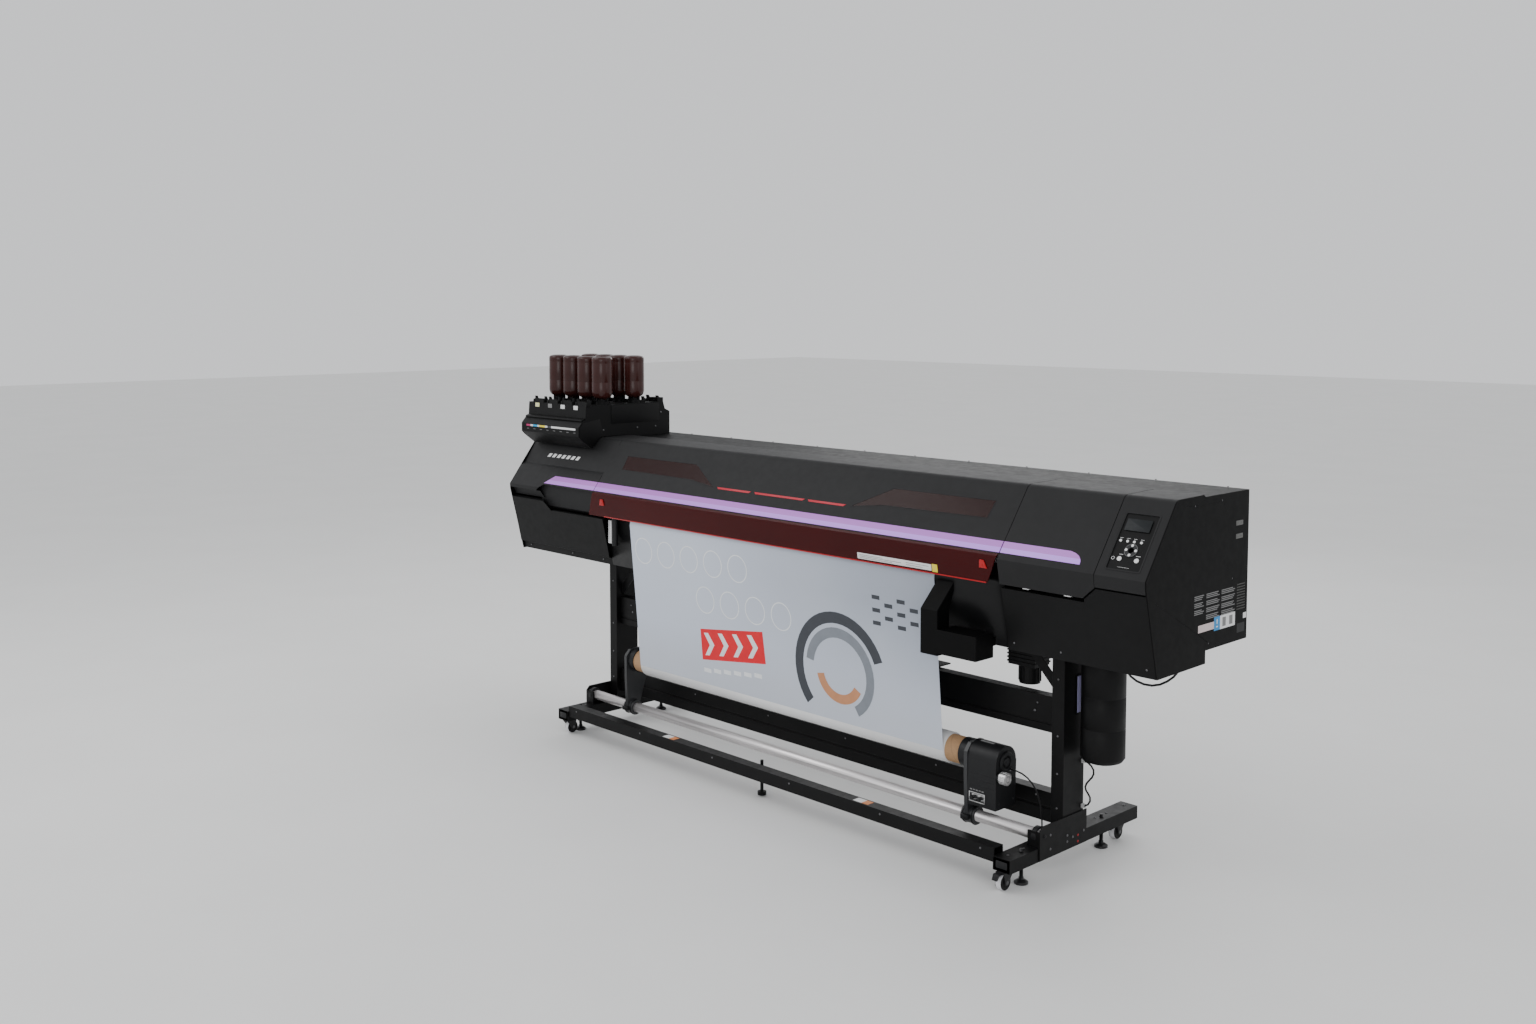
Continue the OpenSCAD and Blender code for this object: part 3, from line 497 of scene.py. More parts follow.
def bed():
    """Anodised platen whose front guide is painted black."""
    s = plain("platen_aluminium", (0.15, 0.15, 0.16), 0.38, 0.10, 0.05, 500.0, 0.15, metal=0.7)
    in_front = s.math("LESS_THAN", s.axes()[1], GUIDE_BACK_Y)
    s.painted(in_front, (0.005, 0.005, 0.0055))
    s.link(s.remap(in_front, 0.0, 1.0, 0.7, 0.0), s.bsdf.inputs["Metallic"])
    return s.material


CHARCOAL = scuffed(
    plain("charcoal_plastic", (0.0150, 0.0150, 0.0156), 0.56, 0.06, 0.04, 900.0, 0.26, 0.00009, shine=0.18),
    (0.034, 0.034, 0.035), 0.20)
BLACK = scuffed(
    plain("black_plastic", (0.0048, 0.0048, 0.0050), 0.50, 0.10, 0.05, 750.0, 0.35, 0.00012, shine=0.15),
    (0.014, 0.014, 0.014), 0.22)
PANEL = scuffed(
    plain("panel_steel", (0.0026, 0.0026, 0.0027), 0.50, 0.10, 0.05, 420.0, 0.30, 0.00012, shine=0.08),
    (0.008, 0.008, 0.0085), 0.25)
STEEL = scuffed(
    plain("black_steel", (0.0046, 0.0046, 0.0048), 0.44, 0.10, 0.06, 380.0, 0.40, 0.00014, shine=0.14),
    (0.016, 0.016, 0.0165), 0.30, 40.0, 0.60)
TYRE = scuffed(
    plain("wheel_rubber", (0.0070, 0.0070, 0.0072), 0.64, 0.15, 0.06, 260.0, 0.5, 0.0002, shine=0.2),
    (0.030, 0.029, 0.028), 0.35, 90.0, 0.58)
CABLE = plain("cable_jacket", (0.0060, 0.0060, 0.0065), 0.45, 0.1, 0.06, 300.0, 0.2).material
WINDOW = smoked_red()
STRIPE = lavender()
ACCENT = glossy("accent_red", (0.48, 0.006, 0.024), 0.34, 0.1)
LATCH = glossy("latch_red", (0.42, 0.007, 0.009), 0.30, 0.2)
POLISHED = brushed("polished_tube", (0.80, 0.77, 0.77), 0.36, (3.0, 260.0, 260.0), 0.02, 0.8).material
MACHINED = brushed("knurled_silver", (0.58, 0.58, 0.58), 0.30, (500.0, 60.0, 60.0)).material
SCREWS = brushed("screw_steel", (0.15, 0.15, 0.155), 0.38, (300.0, 300.0, 300.0)).material
RAIL = plain("anodised", (0.14, 0.14, 0.15), 0.36, 0.1, 0.05, 500.0, 0.15, metal=0.8).material
BED = bed()
CASTOR = plain("castor_steel", (0.018, 0.018, 0.019), 0.40, 0.12, 0.08, 300.0, 0.3).material
ARM = plain("arm_grey", (0.030, 0.031, 0.033), 0.36, 0.08, 0.05, 420.0, 0.25, shine=0.4).material
MOTOR = plain("motor_black", (0.0095, 0.0098, 0.0108), 0.44, 0.08, 0.05, 650.0, 0.30, shine=0.25).material
BROWN = bottle_brown()
FILM = printed_film()
PLASTIC_WHITE = glossy("key_white", (0.80, 0.80, 0.80), 0.30, 0.3, 0.03)
PLASTIC_GREY = plain("clip_grey", (0.36, 0.36, 0.36), 0.42, 0.06, 0.05, 500.0, 0.15).material
HUB = plain("hub_grey", (0.66, 0.66, 0.68), 0.38, 0.06, 0.05, 500.0, 0.15).material
GRILLE = plain("grille_grey", (0.12, 0.12, 0.115), 0.45, 0.12, 0.06, 600.0, 0.2).material
DISPLAY = screen()
PAPER_WHITE = label("label_white", (0.72, 0.72, 0.72))
PAPER_GREY = label("label_grey", (0.20, 0.20, 0.20))
PAPER_YELLOW = label("label_yellow", (0.80, 0.66, 0.05))
PAPER_PALE = label("label_pale", (0.72, 0.72, 0.40))
PAPER_BLUE = label("label_blue", (0.03, 0.25, 0.55))
PAPER_CYAN = label("label_cyan", (0.02, 0.33, 0.60))
PAPER_MAGENTA = label("label_magenta", (0.45, 0.03, 0.14))
PAPER_ORANGE = label("label_orange", (0.62, 0.20, 0.05))
PAPER_PINK = label("label_pinkish", (0.62, 0.52, 0.52))
LEVEL = glossy("level_lavender", (0.42, 0.40, 0.66), 0.25, 0.4)
INK_RED = label("print_red", (0.70, 0.010, 0.022), 0.35)
INK_WHITE = label("print_white", (0.78, 0.80, 0.82), 0.35)
INK_DARK = label("print_dark", (0.045, 0.050, 0.060), 0.35)
INK_GREY = label("print_grey", (0.20, 0.22, 0.25), 0.35)
INK_WARM = label("print_warm", (0.52, 0.24, 0.12), 0.35)


# ---------------- carried-over CAD nodes
def dress(node, material, bevel=0.0):
    """Gives a CAD node its material, softened edges and clean shading. Its mesh isn't changed."""
    obj = NODES[node]
    mesh = obj.data
    if "custom_normal" in mesh.attributes:
        mesh.attributes.remove(mesh.attributes["custom_normal"])
    mesh.materials.clear()
    mesh.materials.append(material)
    mesh.shade_smooth()
    weld = obj.modifiers.new("weld", "WELD")
    weld.merge_threshold = 0.00001
    if bevel:
        edge = obj.modifiers.new("bevel", "BEVEL")
        edge.width = bevel
        edge.segments = 3
        edge.limit_method = "ANGLE"
        edge.angle_limit = SHARP
        edge.harden_normals = True
        edge.use_clamp_overlap = True
    else:
        mesh.set_sharp_from_angle(angle=math.radians(32.0))


def middle(box):
    return (box[0] + box[1]) / 2


def dress_all():
    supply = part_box("supply_roll")
    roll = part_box("takeup_roll")
    looks = {
        STEEL: ("foot_left", "foot_right", "column_left", "column_right", "front_beam", "takeup_beam",
                "rear_beam", "base_frame"),
        PANEL: ("side_panel_left", "side_panel_right", "rear_cover", "front_arm"),
        CHARCOAL: ("left_corner_cover", "front_lid", "right_front_cover", "panel_cover"),
        BLACK: ("left_lower_cover", "right_lower_cover", "ink_tower", "panel_display", "waste_tank"),
        MOTOR: ("takeup_motor", "chuck_right", "chuck_left", "cap_station", "carriage", "takeup_switch"),
        ARM: ("takeup_arm_right", "takeup_arm_left"),
        RAIL: ("y_rail", "pinch_bar"),
        BED: ("platen",),
        MACHINED: ("tension_knob", "drive_pulley", "feed_roller", "cutter_holder"),
        POLISHED: ("takeup_tube",),
        TYRE: ("carriage_belt",),
        WINDOW: ("lid_window",),
    }
    widths = {
        "foot_left": 1.2, "foot_right": 1.2, "column_left": 1.5, "column_right": 1.5, "front_beam": 1.5,
        "takeup_beam": 1.2, "rear_beam": 1.2, "front_arm": 2.5, "ink_tower": 2.0,
        "front_lid": 0.7, "left_corner_cover": 0.7, "right_front_cover": 0.7, "panel_cover": 0.7,
        "left_lower_cover": 0.7, "right_lower_cover": 0.7, "side_panel_left": 0.8, "side_panel_right": 0.8,
        "rear_cover": 0.7, "lid_window": 0.6, "takeup_motor": 3.0, "takeup_arm_right": 1.2,
        "takeup_arm_left": 1.2, "panel_display": 0.5, "carriage": 1.5, "cap_station": 1.2,
        "tension_knob": 0.3, "chuck_right": 0.8, "chuck_left": 0.8, "base_frame": 0.6,
    }
    for material, nodes in looks.items():
        for node in nodes:
            dress(node, material, widths.get(node, 0.0) * MM)
    core = (0.47, 0.28, 0.145)
    film = (0.80, 0.80, 0.80)
    dress("takeup_roll", wound("core_card", middle(roll), 0.0448, core, film))
    dress("supply_roll", wound("white_media", middle(supply), 0.0465, (0.02, 0.02, 0.022), film))
    for node in ("function_keys", "enter_key", "power_key"):
        dress(node, PLASTIC_WHITE, 0.5 * MM)
    dress("jog_pad", glossy("key_black", (0.016, 0.016, 0.018), 0.4, 0.1), 0.5 * MM)
    for node in [n for n in NODES if n.startswith("leveller")]:
        dress(node, glossy("pad_black_" + node, (0.012, 0.012, 0.013), 0.3, 0.2))


dress_all()


# ---------------- cables, held at both ends
LOOP_ROUTE = [
    (1385, -120, 709), (1385, -120, 698), (1389, -116, 683), (1397, -107, 666), (1409, -94, 652),
    (1424, -78, 642), (1441, -61, 638), (1457, -43, 641), (1471, -27, 650), (1483, -12, 663),
    (1491, 0, 679), (1496, 8, 695), (1497, 10, 709),
]
MOTOR_ROUTE = [
    (988, -146, 300), (1000, -146, 300), (1016, -143, 298), (1032, -137, 292), (1047, -130, 281),
    (1060, -123, 265), (1070, -117, 246), (1077, -113, 225), (1082, -110, 202), (1085, -108, 178),
    (1087, -107, 154), (1088, -107, 130), (1088, -107, 100),
]
COLUMN_ROUTE = [
    (1146, 24, 326), (1155, 24, 326), (1165, 28, 321), (1174, 33, 311), (1179, 37, 299), (1179, 38, 286),
    (1174, 36, 274), (1166, 32, 263), (1159, 29, 253), (1156, 27, 242), (1158, 28, 231), (1164, 31, 221),
    (1170, 33, 210), (1171, 32, 198), (1166, 28, 187), (1156, 25, 181), (1146, 25, 181),
]


def cable(name, route, diameter):
    """A cable along its route, from one socket on the machine to another."""
    points = [Vector(p) * MM for p in route]
    data = bpy.data.curves.new(name, "CURVE")
    data.dimensions = "3D"
    data.bevel_depth = diameter / 2
    data.bevel_resolution = 4
    data.use_fill_caps = True
    spline = data.splines.new("POLY")
    spline.points.add(len(points) - 1)
    for target, p in zip(spline.points, points):
        target.co = (*p, 1.0)
    data.materials.append(CABLE)
    obj = linked(name, data, "machine")
    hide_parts("cables")


cable("body_loop_cable", LOOP_ROUTE, 0.007)
cable("motor_cable", MOTOR_ROUTE, 0.005)
cable("column_cable", COLUMN_ROUTE, 0.006)


# ---------------- front slope
PANEL_VERTS = [v.co for v in NODES["panel_cover"].data.vertices]
NOSE = min(PANEL_VERTS, key=lambda v: (round(v.y, 4), -v.z)).copy()
NORMAL = Vector(JOINTS["jog_pad_press"]["axis"])
UP_SLOPE = Vector((0.0, NORMAL.z, -NORMAL.y))
SLOPE = tilted(0, UP_SLOPE.yz, NORMAL.yz, NOSE.yz)
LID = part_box("front_lid")
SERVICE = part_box("right_front_cover")
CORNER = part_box("left_corner_cover")


def slope_u(z):
    """How far up the slope a height lies."""
    return (z - NOSE.z) / UP_SLOPE.z


def stripe(name, body, outline):
    """One length of the lavender stripe, 1.4 mm proud of the slope."""
    Piece(SLOPE).prism("z", -0.0002, 0.0014, outline, 0.0005).done(name, STRIPE, "charcoal_plastic", body)


def front_stripes():
    """The lavender stripe in three lengths, with gaps at the lid's ends."""
    low, high = slope_u(1.0135), slope_u(1.045)
    gap = 0.0006
    left = [(-1.327, low), (CORNER[1].x - gap, low), (CORNER[1].x - gap, high), (-1.276, high)]
    stripe("stripe_left", "machine", left)
    stripe("stripe_middle", "lid", rectangle(LID[0].x + gap, LID[1].x - gap, low, high))
    start = SERVICE[0].x + gap
    tip = ((1.332, 0.0), (1.331, 0.25), (1.327, 0.48), (1.319, 0.70), (1.306, 0.88), (1.288, 1.0))
    end = [(x, low + (high - low) * t) for x, t in tip]
    stripe("stripe_right", "service_cover", [(start, low)] + end + [(start, high)])


def accent_bars():
    piece = Piece(SLOPE)
    u = slope_u(1.083)
    for x0, x1 in ((-0.296, -0.113), (-0.095, 0.162), (0.176, 0.358)):
        bar = [(x0 + 0.008, u - 0.004), (x1 - 0.010, u - 0.004), (x1, u + 0.004), (x0, u + 0.004)]
        piece.prism("z", -0.0002, 0.0008, bar, 0.0003)
    piece.done("accent_bars", ACCENT, "charcoal_plastic", "lid")


def corner_slashes():
    """Small pale slanted bars on the left corner, in place of a name."""
    top, foot = Vector((-0.171, 1.159)), Vector((-0.222, 1.081))
    up = unit(top - foot)
    piece = Piece(tilted(0, up, (-up.y, up.x), (top + foot) / 2))
    for i in range(7):
        x = -1.418 + i * 0.033
        bar = [(x, -0.0085), (x + 0.020, -0.0085), (x + 0.028, 0.0085), (x + 0.008, 0.0085)]
        piece.prism("z", -0.0002, 0.0006, bar, 0.0002)
    piece.done("corner_slashes", PLASTIC_WHITE, "key_white")


def pane_frames():
    """Thin proud rims round the two tinted panes of the lid."""
    piece = Piece(SLOPE)
    pane = [(-0.500, 1.153), (-0.921, 1.153), (-0.914, 1.102), (-0.486, 1.099), (-0.348, 1.083)]
    for side in (-1, 1):
        pts = [Vector((0.032 + side * x, slope_u(z))) for x, z in pane]
        for a, b in zip(pts, pts[1:] + pts[:1]):
            along = unit(b - a)
            across = Vector((-along.y, along.x)) * 0.0011
            corners = (a - across, b - across, b + across, a + across)
            piece.prism("z", -0.0004, 0.0006, corners, 0.0003)
    piece.done("pane_rims", CHARCOAL, "charcoal_plastic", "lid")


def seam_shadow_strips():
    """Dark strips down in the seams at both ends of the lid, painted shadow in the gaps."""
    piece = Piece(SLOPE)
    for x in (LID[0].x - 0.001, LID[1].x + 0.001):
        piece.block((x - 0.0007, x + 0.0007), (slope_u(1.03), slope_u(1.19)), (-0.014, -0.003), 0.0002)
    piece.done("seam_painted_shadow", TYRE, "wheel_rubber")


front_stripes()
accent_bars()
corner_slashes()
pane_frames()
seam_shadow_strips()


# ---------------- window, latches and its label
GLASS_TOP = Vector((-0.290, 0.985))
GLASS_LOW = Vector((-0.277, 0.911))
GLASS_ALONG = unit(GLASS_LOW - GLASS_TOP)
GLASS_OUT = Vector((GLASS_ALONG.y, -GLASS_ALONG.x))


def glass_place(x, z):
    """Local frame on the window's outer face: x along it, y up it, z out of it."""
    t = (z - GLASS_TOP.y) / (GLASS_LOW.y - GLASS_TOP.y)
    at = GLASS_TOP + (GLASS_LOW - GLASS_TOP) * t
    return tilted(x, -GLASS_ALONG, GLASS_OUT, at)


def window_details():
    """Two red latches, a blank label with lines, a blank yellow square and the window's rim, a bright red
    strip that is painted glow along its lower edge.
    """
    for name, x, side in (("latch_left", -0.925, 1), ("latch_right", 0.985, -1)):
        piece = Piece(glass_place(x, 0.972))
        wedge = [(-0.016, -0.013), (0.014, -0.013), (0.010, 0.013), (-0.006, 0.013)]
        piece.prism("z", -0.0002, 0.004, [(side * a, b) for a, b in wedge], 0.0012, 3)
        piece.rod("z", (side * 0.002, -0.002, 0.003), 0.0022, 0.0042, 0.0006)
        piece.done(name, LATCH, "red_window", "lid")
    label = glass_place(0.6, 0.9315)
    outline = rounded(rectangle(-0.142, 0.176, -0.0105, 0.0105), 0.002, 3)
    plate = Piece(label).prism("z", -0.0002, 0.0007, outline, 0.0002)
    plate.done("window_label", PAPER_WHITE, "white_media", "lid")
    marks = Piece(label)
    lines = ((-0.132, -0.03, 0.004), (-0.132, 0.05, -0.001), (-0.132, 0.01, -0.006),
             (0.07, 0.165, 0.003), (0.07, 0.14, -0.004))
    for x0, x1, y in lines:
        marks.block((x0, x1), (y - 0.0008, y + 0.0008), (0.0006, 0.0009), 0.0)
    marks.done("window_label_lines", PAPER_GREY, "motor_black", "lid")
    outline = rounded(rectangle(-0.011, 0.011, -0.013, 0.013), 0.002, 3)
    square = Piece(glass_place(0.79, 0.9315)).prism("z", -0.0002, 0.0008, outline, 0.0002)
    square.done("window_square", PAPER_YELLOW, "white_media", "lid")
    # Bright red strip along the window's lower edge: painted red glow of the film seen through the pane.
    rim = Piece(glass_place(0.0, 0.9135))
    rim.block((-0.925, 0.990), (-0.0022, 0.0018), (-0.0034, 0.0009), 0.0006)
    rim.done("window_painted_glow_rim", LATCH, "red_window", "lid")


window_details()


# ---------------- control panel
def control_panel():
    """Bezel, display face, key marks and the jog pad's dots and line."""
    outer = rounded(rectangle(1.4135, 1.5305, 0.0225, 0.2145), 0.007, 6)
    inner = rounded(rectangle(1.4185, 1.5255, 0.0275, 0.2095), 0.004, 6)
    ring = bmesh.new()
    levels = ((outer, -0.0004), (outer, 0.0009), (inner, 0.0004), (inner, -0.0028))
    rows = [[ring.verts.new((*p, h)) for p in line] for line, h in levels]
    close_band(ring, rows)
    Piece(SLOPE).take(ring).done("panel_bezel", CHARCOAL, "charcoal_plastic", smooth=50)

    outline = rounded(rectangle(1.4285, 1.5105, 0.1535, 0.1925), 0.002, 4)
    face = Piece(SLOPE).prism("z", -0.0002, 0.0007, outline, 0.0003)
    face.done("display_face", DISPLAY, "black_plastic")

    marks = Piece(SLOPE)
    for x in (1.430, 1.453, 1.475, 1.498):
        marks.block((x - 0.005, x + 0.006), (0.1287, 0.1297), (-0.0026, -0.0022), 0.0)
    for x in ((1.443, 1.455), (1.497, 1.512)):
        marks.block(x, (0.0759, 0.0771), (-0.0026, -0.0022), 0.0)
    marks.ring("z", (1.427, 0.062, -0.0026), 0.0005, 0.0042, 0.0052, 0.0, 24)
    marks.block((1.452, 1.490), (0.0355, 0.0361), (-0.0026, -0.0023), 0.0)
    marks.done("panel_marks", PAPER_WHITE, "key_white")

    pad_x, pad_u = 1.475, 0.092
    dots = Piece(SLOPE)
    for x, u in circle(0.0155, 4):
        dots.rod("z", (pad_x + x, pad_u + u, -0.0006), 0.0008, 0.0043, 0.0003, 24)
    dots.done("jog_dots", PLASTIC_WHITE, "key_white", "jog_pad")
    line = Piece(SLOPE).ring("z", (pad_x, pad_u, -0.0012), 0.0006, 0.0195, 0.0203, 0.0, 64)
    line.done("jog_line", PAPER_GREY, "key_white", "jog_pad")


control_panel()


# ---------------- right side panel
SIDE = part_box("side_panel_right")[1].x


def side_sticker(name, material, boxes, thick=0.0002, r=0.0008):
    """Flat rounded rectangles on the right side, each a box in y and z."""
    piece = Piece()
    for y0, y1, z0, z1 in boxes:
        piece.prism("x", SIDE - 0.0001, SIDE + thick, rounded(rectangle(y0, y1, z0, z1), r, 2), 0.0)
    piece.done(name, material, "panel_steel")


def side_details():
    """Screws, sockets, vent mesh, power inlet and blank stickers of the right side panel."""
    screws = Piece()
    for y, z in ((-0.039, 1.183), (0.115, 1.186), (0.184, 0.943), (0.050, 0.767)):
        for side in (1, -1):
            screws.screw("x", (side * (SIDE - 0.0022), y, z), 0.0036, side)
    screws.done("side_screws", SCREWS, "panel_steel")

    sockets = Piece()
    for z in (1.060, 1.100):
        sockets.block((SIDE - 0.0036, SIDE - 0.0006), (0.2005, 0.2435), (z + 0.0005, z + 0.0155), 0.0006)
        for y in (0.2115, 0.2325):
            sockets.ring("x", (SIDE - 0.0008, y, z + 0.008), 0.0006, 0.0022, 0.0052, 0.0, 20)
    sockets.done("signal_sockets", GRILLE, "panel_steel")

    mesh = Piece()
    for i in range(10):
        z = 0.8418 + i * 0.0084
        mesh.block((SIDE - 0.0030, SIDE - 0.0022), (0.2125, 0.2655), (z, z + 0.0044), 0.0)
    for i in range(9):
        y = 0.2155 + i * 0.0058
        mesh.block((SIDE - 0.0024, SIDE - 0.0010), (y, y + 0.0024), (0.8405, 0.9215), 0.0002)
    mesh.done("vent_mesh", GRILLE, "panel_steel")

    inlet = Piece()
    inlet.block((SIDE - 0.0038, SIDE - 0.0002), (0.2165, 0.2615), (0.7725, 0.7995), 0.001)
    inlet.block((SIDE - 0.0004, SIDE - 0.0001), (0.214, 0.264), (0.770, 0.802), 0.0)
    for y in (0.230, 0.239, 0.248):
        inlet.block((SIDE - 0.0003, SIDE - 0.00005), around(y, 0.001), (0.781, 0.791), 0.0)
    inlet.done("power_inlet", MOTOR, "motor_black")

    rows = []
    for k in range(4):
        for j, (y0, y1) in enumerate(((-0.036, 0.018), (0.032, 0.108), (0.120, 0.200))):
            for line in range(3 if (k, j) != (3, 0) else 0):
                top = 0.917 - k * 0.021 - line * 0.0052
                rows.append((y0, y1 - 0.006 * ((k + line + j) % 3), top - 0.0026, top))
    side_sticker("rating_lines", PAPER_GREY, rows, r=0.0004)
    side_sticker("side_strip", PAPER_PINK, [(-0.012, 0.079, 0.806, 0.828)])
    side_sticker("side_square", PAPER_BLUE, [(0.079, 0.114, 0.799, 0.840)])
    side_sticker("side_white", PAPER_WHITE, [(0.114, 0.203, 0.799, 0.840), (0.252, 0.272, 0.812, 0.829)])
    raised = 0.00035
    side_sticker("side_bars", PAPER_GREY, [(y, y + 0.020, 0.806, 0.833) for y in (0.128, 0.168)], raised)
    mark = [(0.091, 0.102, 0.808, 0.812), (0.094, 0.099, 0.818, 0.832)]
    side_sticker("blue_mark", PAPER_WHITE, mark, raised)


side_details()


# ---------------- media
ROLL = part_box("takeup_roll")
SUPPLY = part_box("supply_roll")
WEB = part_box("media_web")
HALF_WEB = WEB[1].x
ROLL_R = 0.050
SUPPLY_R = 0.0524
WEB_Z = WEB[1].z - 0.0002
HANG_TOP = Vector((-0.266, 0.905))
HANG_FOOT = Vector((middle(ROLL).y - ROLL_R - 0.0004, middle(ROLL).z))
FILM_T = 0.0003


def ripple(x, z):
    """Slow waves of the free hang, nothing at its two ends."""
    t = max(0.0, min(1.0, (z - HANG_FOOT.y) / (HANG_TOP.y - HANG_FOOT.y)))
    ends = math.sin(math.pi * t) ** 2
    return 0.0011 * ends * (math.sin(7.3 * x + 1.1) + 0.6 * math.sin(13.1 * x + 2.0 * t + 0.4))


def hang_y(x, z):
    t = (z - HANG_FOOT.y) / (HANG_TOP.y - HANG_FOOT.y)
    return HANG_FOOT.x + (HANG_TOP.x - HANG_FOOT.x) * t + ripple(x, z)


def web_path():
    """From the top of the supply roll over the platen and down to the take-up roll, as (y, z)."""
    axis = middle(SUPPLY).yz
    turn = Vector((0.286, WEB_Z))
    away = turn - axis
    a = math.atan2(away.y, away.x) - math.acos(SUPPLY_R / away.length)
    off = axis + Vector((SUPPLY_R * math.cos(a), SUPPLY_R * math.sin(a)))
    edge = Vector((-0.252, WEB_Z))
    path = [off] + fillet(off, turn, edge, 0.024, 12) + fillet(turn, edge, HANG_TOP, 0.026, 12)
    path += fillet(edge, HANG_TOP, HANG_FOOT, 0.060, 6)
    return path + [HANG_FOOT]


def even(path, step):
    """The same path with points no further apart than step."""
    out = [path[0]]
    for a, b in zip(path, path[1:]):
        n = max(1, math.ceil((b - a).length / step))
        out += [a + (b - a) * (i / n) for i in range(1, n + 1)]
    return out


def media():
    """The film as one closed sheet, rippled where it hangs free."""
    path = even(web_path(), 0.02)
    columns = 63
    bm = bmesh.new()
    sides = []
    for side in (0, 1):
        grid = []
        for i, p in enumerate(path):
            before, after = path[max(i - 1, 0)], path[min(i + 1, len(path) - 1)]
            along = unit(after - before)
            out = Vector((along.y, -along.x)) * (FILM_T * side)
            row = []
            for c in range(columns):
                x = -HALF_WEB + 2 * HALF_WEB * c / (columns - 1)
                y = p.x + out.x
                if p.y < HANG_TOP.y and p.x < 0:
                    y += ripple(x, p.y)
                row.append(bm.verts.new((x, y, p.y + out.y)))
            grid.append(row)
        sides.append(grid)
    for side, grid in enumerate(sides):
        for a, b in zip(grid, grid[1:]):
            for c in range(columns - 1):
                quad = (a[c], a[c + 1], b[c + 1], b[c])
                bm.faces.new(quad if side else quad[::-1])
    rows, last = len(path), columns - 1
    rim = [(0, c) for c in range(columns)] + [(r, last) for r in range(1, rows)]
    rim += [(rows - 1, c) for c in range(last - 1, -1, -1)] + [(r, 0) for r in range(rows - 2, 0, -1)]
    for (r0, c0), (r1, c1) in zip(rim, rim[1:] + rim[:1]):
        bm.faces.new((sides[0][r0][c0], sides[0][r1][c1], sides[1][r1][c1], sides[1][r0][c0]))
    bmesh.ops.recalc_face_normals(bm, faces=bm.faces)
    sheet = linked("media_sheet", mesh_of(bm, "media_sheet", FILM, 40), "machine")
    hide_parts("media_web")


def printed(name, material, outlines, layer=1):
    """Flat printed shapes on the hanging film, each an outline in x and z."""
    lift = 0.0003 + 0.00012 * layer
    step = 0.03
    bm = bmesh.new()
    for outline in outlines:
        part = bmesh.new()
        part.faces.new([part.verts.new((x, 0.0, z)) for x, z in outline])
        for values, normal in zip(zip(*outline), (Vector((1, 0, 0)), Vector((0, 0, 1)))):
            low, high = min(values), max(values)
            n = int((high - low) / step)
            for i in range(1, n + 1):
                cut = normal * (low + (high - low) * i / (n + 1))
                geom = part.verts[:] + part.edges[:] + part.faces[:]
                bmesh.ops.bisect_plane(part, geom=geom, plane_co=cut, plane_no=normal)
        for v in part.verts:
            v.co.y = hang_y(v.co.x, v.co.z) - lift
        add_part(bm, part)
    bmesh.ops.recalc_face_normals(bm, faces=bm.faces)
    for f in bm.faces:
        if f.normal.y > 0:
            f.normal_flip()
    linked(name, mesh_of(bm, name, material), "machine")


def arc(r, w, start, end, n=26):
    """A ring segment round the arcs' centre, as short quads."""
    x, z = 0.33, 0.50
    angles = [math.radians(start + (end - start) * i / n) for i in range(n + 1)]
    return [
        [(x + q * math.cos(t), z + q * math.sin(t)) for q, t in ((r, a), (r, b), (r - w, b), (r - w, a))]
        for a, b in zip(angles, angles[1:])
    ]


def hoops(x, z, count):
    """A row of thin rings, each as two half rings."""
    r, w, n, pitch = 0.052, 0.004, 40, 0.135
    out = []
    for i in range(count):
        for start in (0.0, math.pi):
            angles = [start + math.pi * k / n for k in range(n + 1)]
            edge = [(r, a) for a in angles] + [(r - w, a) for a in reversed(angles)]
            out.append([(x + i * pitch + q * math.cos(a), z + q * math.sin(a)) for q, a in edge])
    return out


def media_print():
    rings = hoops(-0.700, 0.800, 5) + hoops(-0.350, 0.655, 4)
    printed("print_rings", INK_WHITE, rings)
    printed("print_block", INK_RED, [[(-0.390, 0.418), (-0.040, 0.463), (-0.048, 0.582), (-0.390, 0.538)]])
    chevron = ((0.0, 0.0), (0.024, 0.003), (0.056, 0.048), (0.024, 0.090), (0.0, 0.087), (0.030, 0.044))
    starts = [-0.372 + i * 0.080 for i in range(4)]
    arrows = [[(x + dx, 0.436 + 0.13 * (x + 0.39) + dz) for dx, dz in chevron] for x in starts]
    printed("print_arrows", INK_WHITE, arrows, 2)
    starts = [(-0.385 + i * 0.056, 0.372 + i * 0.0062) for i in range(6)]
    printed("print_dashes", INK_WHITE, [rectangle(x, x + 0.040, z, z + 0.016) for x, z in starts])
    printed("print_arc_dark", INK_DARK, arc(0.215, 0.040, 20, 220))
    printed("print_arc_grey", INK_GREY, arc(0.160, 0.036, -60, 170), 2)
    printed("print_arc_warm", INK_WARM, arc(0.110, 0.034, 190, 330), 3)
    squares = [rectangle(0.50 + 0.055 * i, 0.535 + 0.055 * i, 0.70 + 0.022 * k, 0.714 + 0.022 * k)
               for i in range(4) for k in range(5) if (i + k) % 2 == 0]
    printed("print_squares", INK_DARK, squares)


media()
media_print()


# ---------------- ink tower and bottles
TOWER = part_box("ink_tower")
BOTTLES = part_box("ink_bottles")
BOTTLE_R = 0.0435
BOTTLE_PITCH = (BOTTLES[1].x - BOTTLES[0].x - 2 * BOTTLE_R) / 3
BOTTLE_X = [BOTTLES[0].x + BOTTLE_R + BOTTLE_PITCH * i for i in range(4)]
BOTTLE_Y = [BOTTLES[0].y + BOTTLE_R, BOTTLES[1].y - BOTTLE_R]
BOTTLE_PLACES = [(x, y) for y in BOTTLE_Y for x in BOTTLE_X]
DECK = TOWER[1].z - 0.018


